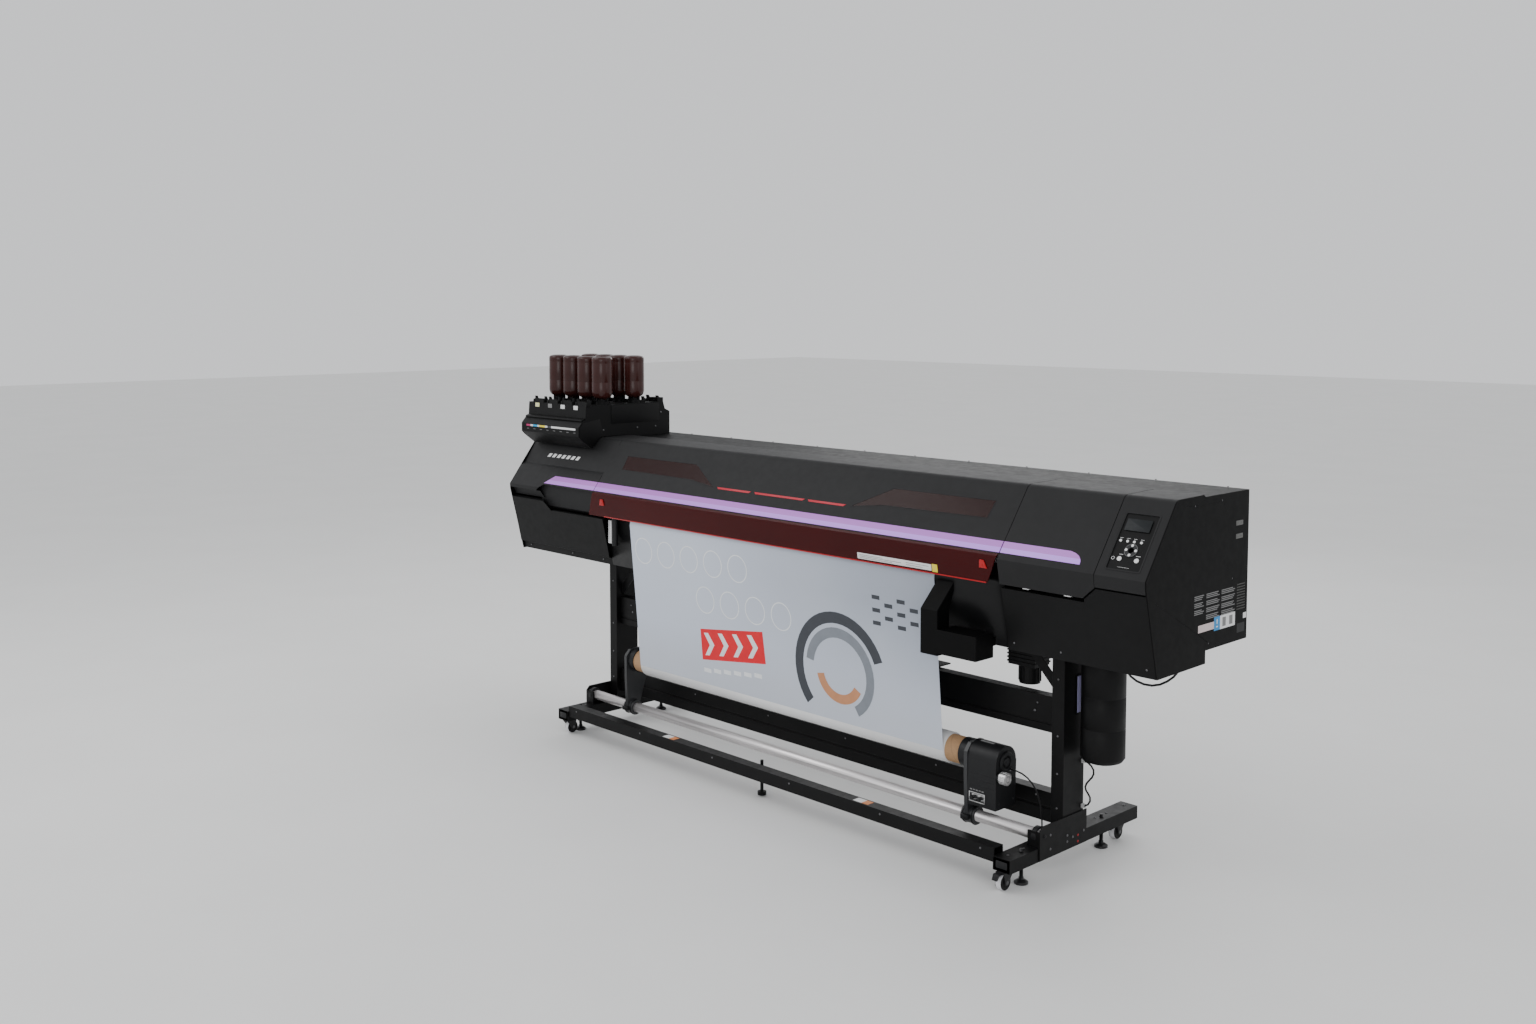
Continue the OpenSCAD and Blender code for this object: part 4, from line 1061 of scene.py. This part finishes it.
def curve_through(points, n=6):
    """A smooth profile through a few (along, radius) points."""
    out = []
    for i in range(len(points) - 1):
        p0, p1 = points[max(i - 1, 0)], points[i]
        p2, p3 = points[i + 1], points[min(i + 2, len(points) - 1)]
        for k in range(n):
            t = k / n
            out.append(tuple(
                0.5 * (2 * b + (c - a) * t + (2 * a - 5 * b + 4 * c - d) * t * t
                       + (3 * b - a - 3 * c + d) * t ** 3)
                for a, b, c, d in zip(p0, p1, p2, p3)
            ))
    return out + [points[-1]]


def bottles():
    """Eight inverted bottles, neck down, each a lathe from its neck up."""
    base = BOTTLES[0].z
    height = BOTTLES[1].z - base
    neck_r = 0.0145
    shoulder = curve_through([(0.040, neck_r), (0.046, 0.0260), (0.054, 0.0370), (0.066, 0.0425),
                              (0.076, BOTTLE_R)])
    body = [(0.110, BOTTLE_R), (0.112, BOTTLE_R - 0.0006), (0.114, BOTTLE_R), (0.190, BOTTLE_R),
            (0.192, BOTTLE_R - 0.0006), (0.194, BOTTLE_R)]
    start, bend = height - 0.013, 0.011
    heel = [(start, BOTTLE_R)]
    heel += [(start + bend * math.sin(a), BOTTLE_R - bend + bend * math.cos(a))
             for a in [math.pi / 2 * i / 6 for i in range(1, 7)]]
    foot = [(height - 0.0005, 0.027), (height - 0.0040, 0.022), (height - 0.0060, 0.0)]
    profile = [(0.0, 0.0), (0.0, neck_r), (0.036, neck_r)] + shoulder + body + heel + foot
    for number, place in enumerate(BOTTLE_PLACES, 1):
        piece = Piece().lathe("z", (*place, base), profile, 64)
        bottle = piece.done(f"ink_bottle_{number}", BROWN, "bottle_amber", smooth=50)
        if number == 1:
            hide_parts("ink_bottles")


def tower_collars():
    collars = Piece()
    top = DECK + 0.012
    for x, y in BOTTLE_PLACES:
        collars.ring("z", (x, y, top - 0.0005), 0.010, 0.0150, 0.0215, 0.0012)
        for k in range(6):
            a = math.radians(60 * k + 15)
            cx, cy = x + 0.0235 * math.cos(a), y + 0.0235 * math.sin(a)
            collars.block(around(cx, 0.003), around(cy, 0.003), (top - 0.001, top + 0.013), 0.001)
    collars.done("bottle_collars", BLACK, "black_plastic")


def tower_claws():
    """Latches that stand along the front edge and at the right end of the deck."""
    claws = Piece()
    front_post = ((-0.001, -0.004), (0.020, -0.004), (0.022, 0.014), (0.016, 0.026), (0.008, 0.026),
                  (0.010, 0.015), (-0.001, 0.012))
    side_post = ((-0.012, -0.002), (0.016, -0.002), (0.018, 0.012), (0.008, 0.026), (0.001, 0.026),
                 (0.004, 0.012), (-0.012, 0.008))
    front, right = TOWER[0].y + 0.040, TOWER[1].x
    claw_sets = [(x + side * 0.034, front, front_post, 0.005) for x in BOTTLE_X for side in (-1, 1)]
    claw_sets += [(right - inset, y, side_post, 0.007) for y in (0.100, 0.180) for inset in (0.020, 0.085)]
    for x, y, post, half in claw_sets:
        claws.prism("x", *around(x, half), [(y + dy, DECK + dz) for dy, dz in post], 0.0012)
    for y in BOTTLE_Y:
        for x in BOTTLE_X[:3]:
            claws.block(around(x + 0.050, 0.004), around(y, 0.02), (DECK - 0.001, DECK + 0.014), 0.0015)
    claws.done("tower_claws", BLACK, "black_plastic")


def tower_labels():
    """Blank tags, the colour strip, short dashes and the side screws."""
    front = TOWER[0].y
    face = front + 0.040
    tags = ((-1.472, PAPER_PALE), (-1.380, PAPER_GREY), (-1.289, PAPER_WHITE), (-1.198, PAPER_WHITE))
    for i, (x, material) in enumerate(tags, 1):
        outline = rounded(rectangle(*around(x, 0.014), DECK - 0.020, DECK - 0.003), 0.0015, 3)
        tag = Piece().prism("y", face - 0.0030, face - 0.0006, outline, 0.0003)
        tag.done(f"tower_tag_{i}", material, "key_white")
    colours = (
        ("magenta", PAPER_MAGENTA, -1.500), ("white_a", PAPER_WHITE, -1.470), ("cyan", PAPER_CYAN, -1.452),
        ("white_b", PAPER_WHITE, -1.420), ("yellow", PAPER_YELLOW, -1.407), ("white_c", PAPER_WHITE, -1.364),
        ("black", INK_DARK, -1.347), ("white_d", PAPER_WHITE, -1.320),
    )
    ends = [start for _, _, start in colours[1:]] + [-1.150]
    for (name, material, start), end in zip(colours, ends):
        chip = Piece().block((start, end), around(front, 0.0004), (1.2440, 1.2520), 0.0)
        chip.done("ink_chip_" + name, material, "key_white")
    dashes = Piece()
    for i in range(8):
        x = -1.497 + i * 0.0475
        dashes.block((x, x + 0.016), (front - 0.0003, front + 0.0004), (1.2325, 1.2345), 0.0)
    dashes.done("tower_dashes", PAPER_GREY, "key_white")
    places = ((0.160, 1.241), (0.060, 1.241), (-0.120, 1.240), (0.190, 1.300))
    screws = Piece().screws("x", [(TOWER[1].x, *p) for p in places], 0.0036)
    screws.done("tower_screws", SCREWS, "black_plastic")


def tower_shelf():
    """Lip under the deck, end fins and the end plates of the tower's front box."""
    piece = Piece()
    x0, x1 = TOWER[0].x, TOWER[1].x
    lip = [(-0.2125, 1.2862), (-0.2290, 1.2798), (-0.2330, 1.2815), (-0.2315, 1.2870), (-0.2122, 1.2935)]
    piece.prism("x", x0 + 0.004, x1 - 0.004, lip, 0.0008)
    for x in (x0 + 0.010, x1 - 0.014):
        piece.block((x, x + 0.004), (-0.2506, -0.2440), (1.2225, 1.2550), 0.0012)
    end = [(-0.2440, 1.2110), (-0.2440, 1.2530), (-0.2260, 1.2750), (-0.1400, 1.2880),
           (-0.1240, 1.2200), (-0.1840, 1.1740)]
    piece.prism("x", x1 - 0.0006, x1 + 0.0024, rounded(end, 0.006, 3), 0.0008)
    piece.block((x1 - 0.0004, x1 + 0.0024), (-0.080, 0.180), (1.2640, DECK - 0.004), 0.0015)
    piece.done("tower_trim", BLACK, "black_plastic")


bottles()
tower_collars()
tower_claws()
tower_labels()
tower_shelf()


# ---------------- stand, castors and take-up
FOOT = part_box("foot_right")
COLUMN_SIDE = 1.146
SIDES = (-1, 1)


def mirrored(profile):
    """The other half of a lathe profile, going back."""
    return [(-along, r) for along, r in reversed(profile)]


def castor(tag):
    """A castor built with its wheel behind its kingpin, then turned to its resting direction."""
    pin = Vector(JOINTS["castor_swivel_" + tag]["pos_m"])
    axle = Vector(JOINTS["castor_roll_" + tag]["pos_m"])
    trail = (axle - pin).xy
    place = Matrix.Translation((*pin.xy, 0)) @ Matrix.Rotation(math.atan2(trail.y, trail.x), 4, "Z")
    swivel, wheel = "castor_" + tag, "wheel_" + tag
    ax, az = trail.length, axle.z
    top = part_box("castor_fork_" + tag)[1].z - 0.016
    body = Piece(place)
    plate = [(0.0, 0.0), (0.0, 0.016), (0.001, 0.0195), (0.0035, 0.020), (0.0052, 0.0185), (0.0052, 0.0)]
    body.lathe("z", (0, 0, top - 0.0055), plate, 40)
    leg = [(0.030, top - 0.003), (-0.019, top - 0.003), (-0.004, 0.037), (ax - 0.009, az - 0.006),
           (ax, az - 0.0095), (ax + 0.009, az - 0.006), (ax + 0.011, 0.036)]
    for y0 in (-0.0163, 0.0142):
        body.prism("y", y0, y0 + 0.0022, leg, 0.0006)
    body.block((-0.016, 0.030), (-0.0163, 0.0164), (top - 0.0042, top - 0.0012), 0.0008)
    frame_part = body.done("castor_frame_" + tag, CASTOR, "castor_black", swivel)
    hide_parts("castor_fork_" + tag)
    pedal = Piece(place)
    arm = [(0.030, top - 0.001), (0.028, top - 0.005), (0.044, top - 0.006), (0.054, 0.0385),
           (0.0575, 0.0395), (0.050, top - 0.0005)]
    pedal.prism("y", -0.010, 0.010, arm, 0.001)
    for k in range(3):
        px = 0.0525 - k * 0.0022
        pedal.block((px, px + 0.001), (-0.008, 0.008), (0.0415 + k * 0.0028, 0.0428 + k * 0.0028), 0.0003)
    pedal.done("castor_pedal_" + tag, MOTOR, "castor_black", swivel)
    nuts = Piece(place)
    for side in (1, -1):
        profile = [(0.0, 0.0062), (0.0012, 0.0062), (0.0016, 0.0040), (0.0017, 0.0)]
        nuts.lathe("y", (ax, side * 0.0163, az), [(side * a, r) for a, r in profile], 6)
    nuts.done("castor_axle_" + tag, SCREWS, "castor_black", swivel)
    tread = [(-0.0098, 0.0180), (-0.0098, 0.0238), (-0.0086, 0.0246), (-0.0060, 0.0250)]
    tyre = Piece(place).lathe("y", (ax, 0, az), tread + mirrored(tread), 56)
    tyre_part = tyre.done("castor_tyre_" + tag, HUB, "wheel_rubber", wheel, 40)
    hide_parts("castor_wheel_" + tag)
    cap = Piece(place)
    dish = [(-0.0121, 0.0), (-0.0121, 0.0055), (-0.0112, 0.0075), (-0.0104, 0.0090), (-0.0104, 0.0150),
            (-0.0121, 0.0172), (-0.0121, 0.0222), (-0.0114, 0.0236), (-0.0102, 0.0241)]
    cap.lathe("y", (ax, 0, az), dish + mirrored(dish), 48)
    for cx, cz in circle(0.0120, 5):
        for y0 in (-0.0113, 0.0103):
            cap.block(around(ax + cx, 0.0016), (y0, y0 + 0.001), around(az + cz, 0.0016), 0.0003)
    cap.done("castor_cap_" + tag, TYRE, "wheel_rubber", wheel, 40)


def stand_details():
    """Bolts, plugs and end caps of the feet, and the stickers and screws of the beams."""
    gusset_bolts = ((-0.060, 0.086), (-0.030, 0.094), (-0.060, 0.106), (0.030, 0.100),
                    (-0.150, 0.086), (-0.150, 0.130))
    foot_bolts = (-0.315, -0.235, 0.150, 0.215, 0.320)
    bolts = Piece()
    for side in SIDES:
        bolts.screws("x", [(side * FOOT[1].x, *p) for p in gusset_bolts], 0.0042, side)
        bolts.screws("z", [(side * 1.112, y, FOOT[0].z + 0.042) for y in foot_bolts], 0.0042)
    bolts.done("stand_bolts", SCREWS, "black_steel")
    plug = [(0.0, 0.0), (0.0, 0.0038), (0.0032, 0.0038), (0.0038, 0.0020), (0.0038, 0.0)]
    dots = Piece()
    for z in (0.092, 0.072):
        dots.lathe("x", (FOOT[1].x - 0.0035, 0.0, z), plug, 24)
    dots.done("gusset_plugs", LATCH, "black_steel")
    caps = Piece()
    for side in SIDES:
        for y in (-0.350, 0.3484):
            for half, low, high, out in ((0.0305, 0.0595, 0.0985, 0.0), (0.0215, 0.0675, 0.0905, 0.0003)):
                outline = rounded(rectangle(*around(side * 1.114, half), low, high), 0.003, 3)
                caps.prism("y", y - out, y + 0.0016 + out, outline, 0.0005)
    caps.done("foot_caps", MOTOR, "black_steel")
    stickers = (
        ("white", PAPER_WHITE, -0.493, -0.455), ("orange", PAPER_ORANGE, -0.455, -0.428),
        ("white_r", PAPER_WHITE, 0.494, 0.532), ("orange_r", PAPER_ORANGE, 0.532, 0.560),
    )
    for name, material, x0, x1 in stickers:
        tag = Piece().block((x0, x1), (-0.338, -0.307), (0.1219, 0.1224), 0.0)
        tag.done("beam_sticker_" + name, material, "key_white")
    fixings = Piece()
    for x in (-1.03, -0.62, -0.2, 0.2, 0.62, 1.03):
        fixings.screws("y", ((x, -0.3449, 0.108), (x, -0.0582, 0.505), (x, -0.0601, 0.208)), 0.0034, -1)
    fixings.screws("y", [(side * 1.02, -0.0582, 0.478) for side in SIDES], 0.0045, -1)
    for side in SIDES:
        fixings.screws("y", [(side * 1.123, -0.0799, z) for z in (0.60, 0.42, 0.30, 0.19)], 0.0036, -1)
    fixings.done("beam_screws", SCREWS, "black_steel")


def cable_clips():
    """Sockets and glands that hold the ends of the cables."""
    clips = Piece()
    x = COLUMN_SIDE
    for y, z in ((0.024, 0.326), (0.025, 0.181)):
        clips.block((x - 0.0002, x + 0.006), (y - 0.008, y + 0.007), (z - 0.007, z + 0.007), 0.0015)
        clips.ring("x", (x + 0.0055, y, z), 0.006, 0.0034, 0.0062, 0.0008, 24)
    clips.ring("x", (0.9875, -0.146, 0.300), 0.006, 0.0027, 0.0062, 0.0008, 28)
    lead = (1.088, -0.107)
    clips.ring("z", (*lead, 0.0995), 0.006, 0.0028, 0.0075, 0.0010, 28)
    clips.done("cable_glands", PLASTIC_GREY, "black_steel")
    plug = Piece().ring("z", (*lead, 0.1050), 0.017, 0.0027, 0.0064, 0.0010, 28)
    plug.done("lead_connector", PAPER_BLUE, "black_steel")
    collar = Piece().ring("z", (*lead, 0.1215), 0.006, 0.0028, 0.0072, 0.0010, 28)
    collar.done("lead_connector_nut", PLASTIC_WHITE, "black_steel")


def column_level():
    """Tinted level strip in its frame on the side of the right column."""
    x = COLUMN_SIDE
    edge = Piece().block((x - 0.0003, x + 0.0014), (-0.016, 0.026), (0.479, 0.609), 0.0006)
    edge.done("level_frame", STEEL, "black_steel")
    strip = Piece().block((x + 0.0006, x + 0.0022), (-0.011, 0.021), (0.486, 0.602), 0.0005)
    strip.done("level_strip", LEVEL, "black_steel")


def tube_clamp(name, body, x, tube):
    """Split clamp round the steel tube with its tightening screw."""
    clamp = Piece()
    for start in (x - 0.020, x + 0.016):
        clamp.ring("x", (start, tube.y, tube.z), 0.005, 0.0195, 0.0315, 0.001, 48)
    clamp.block(around(x, 0.014), (tube.y - 0.045, tube.y - 0.028), around(tube.z, 0.008), 0.002)
    clamp.rod("y", (x, tube.y - 0.046, tube.z), 0.010, 0.0050, 0.001)
    clamp.done(name, MOTOR, "motor_black", body)


def motor_details(front, x0, x1, core):
    """Switch frame and marks, trim lines and bearing cap of the take-up motor housing."""
    plate = Piece()
    for a, b, low, high in ((0.883, 0.887, 0.189, 0.221), (0.942, 0.946, 0.189, 0.221),
                            (0.887, 0.942, 0.189, 0.1925), (0.887, 0.942, 0.2175, 0.221)):
        plate.block((a, b), (front - 0.0010, front + 0.0002), (low, high), 0.0003)
    plate.block((0.8875, 0.9405), (front + 0.0036, front + 0.0052), (0.1945, 0.2155), 0.0002)
    plate.done("switch_plate", MACHINED, "motor_black")
    marks = Piece()
    for i in range(5):
        x = 0.887 + i * 0.0115
        marks.block((x, x + 0.008), (front - 0.0004, front + 0.0003), (0.2265 + 0.001 * (i % 2), 0.2305), 0.0)
    marks.done("switch_marks", PAPER_GREY, "motor_black")
    trim = Piece()
    for z in (0.243, 0.262, 0.281):
        trim.block((x0 + 0.016, x1 - 0.006), (front - 0.0006, front + 0.0006), (z, z + 0.0016), 0.0003)
    trim.ring("x", (x1 - 0.0005, core.y, core.z), 0.0060, 0.020, 0.034, 0.002, 40)
    trim.rod("x", (x1 - 0.0005, core.y, core.z), 0.0050, 0.0150, 0.002, 32)
    trim.screws("x", ((x1, -0.125, 0.200), (x1, -0.200, 0.200), (x1, -0.128, 0.270)), 0.0036)
    trim.done("motor_trim", MOTOR, "motor_black")
    top = core.z + 0.0512
    strip = Piece()
    strip.block((x0 + 0.020, x0 + 0.072), (core.y - 0.012, core.y - 0.002), (top, top + 0.0012), 0.0003)
    strip.done("motor_top_label", PAPER_GREY, "motor_black")


def takeup_details():
    """Switch caps, clamps and rings of the tube, rings and screws of the chucks, knob face."""
    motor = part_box("takeup_motor")
    core = middle(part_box("takeup_roll"))
    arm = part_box("takeup_arm_right")
    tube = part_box("takeup_tube")
    axis = middle(tube)
    motor_details(motor[0].y, motor[0].x, motor[1].x - 0.010, core)
    knobs = Piece()
    cx, cy, cz = JOINTS["takeup_switch_rock"]["pos_m"]
    profile = [(0.0, 0.0), (0.0, 0.0065), (0.0065, 0.0065), (0.0090, 0.0058), (0.0098, 0.0)]
    for side in SIDES:
        knobs.lathe("y", (cx + side * 0.014, cy - 0.0135, cz), profile, 28)
    knobs.done("switch_caps", MOTOR, "motor_black", "takeup_switch")
    tube_clamp("tube_clamp_right", "machine", middle(arm).x, axis)
    tube_clamp("tube_clamp_left", "left_arm", -middle(arm).x, axis)
    ends = Piece()
    for side in SIDES:
        start = side * (tube[1].x - 0.021) - 0.009
        ends.ring("x", (start, axis.y, axis.z), 0.018, 0.0195, 0.0270, 0.002, 40)
        ends.screw("x", (side * FOOT[1].x, axis.y, axis.z), 0.0060, side)
    ends.done("tube_end_rings", MOTOR, "black_steel")
    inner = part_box("takeup_roll")[1].x
    for body, side in (("winding", 1), ("left_chuck", -1)):
        chuck = Piece()
        for k in range(2):
            a = side * (inner + 0.0035 + 0.010 * k)
            chuck.ring("x", (min(a, a + side * 0.004), core.y, core.z), 0.004, 0.0450, 0.0476, 0.001, 56)
        face = side * (arm[0].x + 0.0158)
        chuck.screws("x", [(face, core.y + y, core.z + z) for y, z in circle(0.0345, 8)], 0.0022, side)
        chuck.done("chuck_rings_" + body, MOTOR, "motor_black", body)
    knob = Piece()
    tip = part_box("tension_knob")[1].x
    _, ky, kz = JOINTS["tension_knob_turn"]["pos_m"]
    knob.ring("x", (tip - 0.0030, ky, kz), 0.0034, 0.0115, 0.0165, 0.0010, 48)
    knob.rod("x", (tip - 0.004, ky, kz), 0.0044, 0.0080, 0.001, 32)
    knob.done("knob_face", POLISHED, "knurled_silver", "tension_knob")


for corner in ("fl", "fr", "bl", "br"):
    castor(corner)
stand_details()
cable_clips()
column_level()
takeup_details()


# ---------------- left of the media and lower covers
def gauge_and_edge_holder():
    strip = Piece().block((-0.925, -0.905), (-0.2565, -0.2535), (0.805, 0.897), 0.0006)
    strip.done("gauge_strip", PAPER_WHITE, "white_media")
    ticks = Piece()
    for i in range(16):
        z = 0.811 + i * 0.0053
        ticks.block((-0.924, -0.912 - 0.003 * (i % 2)), (-0.2570, -0.2563), (z, z + 0.0010), 0.0)
    ticks.done("gauge_ticks", INK_DARK, "motor_black")
    holder = Piece().rod("z", (-0.872, -0.263, 0.800), 0.112, 0.0120, 0.002, 36)
    for z in (0.806, 0.898):
        holder.ring("z", (-0.872, -0.263, z), 0.006, 0.0115, 0.0135, 0.001, 36)
    holder.done("edge_holder", MOTOR, "motor_black")


def service_catches():
    tab = [(-0.2790, 0.9130), (-0.2690, 0.9120), (-0.2690, 0.9160), (-0.2795, 0.9165)]
    catches = Piece()
    for x in (1.139, 1.287):
        catches.prism("x", *around(x, 0.011), tab, 0.0006)
    catches.done("service_catches", PLASTIC_WHITE, "key_white", "service_cover")


def cover_screws():
    screws = Piece()
    screws.screws("y", [(x, -0.2318, 0.727) for x in (-1.50, -1.20, -0.99)], 0.0032, -1)
    screws.screws("y", [(x, -0.2380, 0.732) for x in (1.07, 1.24, 1.53)], 0.0032, -1)
    screws.done("cover_screws", SCREWS, "black_plastic")


def rear_details():
    """Screws, slot trim, fan guards and rating plate on the back."""
    _, back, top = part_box("rear_cover")[1]
    screws = Piece()
    for i in range(11):
        screws.screws("y", [(-1.50 + 0.30 * i, back - 0.0004, z) for z in (1.180, 0.770)], 0.0036)
    screws.screws("z", [(-1.50 + 0.25 * i, back - 0.020, top - 0.0004) for i in range(13)], 0.0032)
    screws.done("rear_screws", SCREWS, "panel_steel")
    trim = Piece()
    for z in (0.9695, 0.8985):
        trim.block((-0.915, 0.915), (back - 0.0006, back), (z, z + 0.005), 0.0)
    trim.done("rear_slot_trim", MOTOR, "panel_steel")
    fan = Piece()
    for x in (1.10, 1.28):
        for k in range(5):
            fan.ring("y", (x, back - 0.0008, 0.860), 0.0008, 0.010 + 0.011 * k, 0.013 + 0.011 * k, 0.0002, 48)
        for k in range(3):
            a = math.pi * k / 3
            d = Vector((math.cos(a), math.sin(a)))
            n = Vector((-d.y, d.x)) * 0.0016
            c, d = Vector((x, 0.860)), d * 0.056
            fan.prism("y", back - 0.0008, back - 0.0001, (c - d - n, c + d - n, c + d + n, c - d + n), 0.0)
    fan.done("rear_fan_guards", GRILLE, "panel_steel")
    plate = Piece().block((1.18, 1.29), (back - 0.0004, back), (1.03, 1.09), 0.0)
    plate.done("rear_plate", PAPER_GREY, "panel_steel")


gauge_and_edge_holder()
service_catches()
cover_screws()
rear_details()


# ---------------- inside, seen with the lid open
def inside_details():
    rail = Piece()
    for i in range(25):
        rail.screws("y", [(-1.44 + i * 0.12, 0.0600, z) for z in (1.108, 1.012)], 0.0032, -1)
    rail.done("rail_screws", SCREWS, "anodised")
    low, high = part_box("carriage")
    head = Piece()
    for i in range(4):
        x = low.x + 0.040 + i * 0.066
        head.block((x, x + 0.050), (low.y + 0.030, high.y - 0.060), (1.1275, 1.1340), 0.0015)
        for dx in (0.014, 0.036):
            head.rod("z", (x + dx, low.y + 0.060, 1.132), 0.0140, 0.0048, 0.001, 20)
    head.done("head_dampers", MOTOR, "motor_black", "print_carriage")
    lamp = Piece()
    lamp.block((high.x - 0.058, high.x - 0.006), (low.y + 0.0006, low.y + 0.002), (0.965, 1.085), 0.0008)
    for k in range(9):
        z = 0.972 + 0.012 * k
        lamp.block((high.x - 0.056, high.x - 0.008), (low.y - 0.0002, low.y + 0.0018), (z, z + 0.005), 0.0006)
    lamp.done("lamp_fins", RAIL, "anodised", "print_carriage")


inside_details()


# ---------------- stage and light
def studio():
    """Floor, sky and five soft lights."""
    floor_shader = plain("floor", (0.80, 0.80, 0.79), 0.60, 0.015, 0.05, 60.0, 0.05, 0.0004, mottle=1.5)
    mesh = bpy.data.meshes.new("floor")
    half = 30.0
    mesh.from_pydata([(*p, 0) for p in rectangle(-half, half, -half, half)], [], [(0, 1, 2, 3)])
    mesh.materials.append(floor_shader.material)
    floor = bpy.data.objects.new("floor", mesh)
    bpy.context.scene.collection.objects.link(floor)
    world = bpy.data.worlds.new("studio")
    bpy.context.scene.world = world
    world.use_nodes = True
    sky = world.node_tree.nodes["Background"]
    sky.inputs["Color"].default_value = (0.95, 0.96, 0.98, 1.0)
    sky.inputs["Strength"].default_value = 0.95
    softboxes = (
        ("key", (-3.0, -3.4, 4.4), (0.0, 0.0, 0.8), (4.0, 3.0), 95.0),
        ("front_fill", (3.4, -5.4, 2.2), (0.3, 0.0, 0.7), (3.2, 2.2), 60.0),
        ("top", (0.4, 1.8, 4.6), (0.0, 0.0, 1.0), (5.0, 2.0), 36.0),
        ("right_edge", (5.2, 1.6, 2.6), (1.5, 0.0, 0.9), (1.6, 2.4), 7.0),
        ("back", (-2.5, 4.6, 3.0), (0.0, 0.0, 0.9), (3.0, 2.0), 34.0),
    )
    for name, place, target, size, power in softboxes:
        data = bpy.data.lights.new(name, "AREA")
        data.shape = "RECTANGLE"
        data.size, data.size_y = size
        data.energy = power
        light = bpy.data.objects.new(name, data)
        light.location = place
        aim = Vector(target) - Vector(place)
        light.rotation_euler = aim.to_track_quat("-Z", "Y").to_euler()
        bpy.context.scene.collection.objects.link(light)


studio()
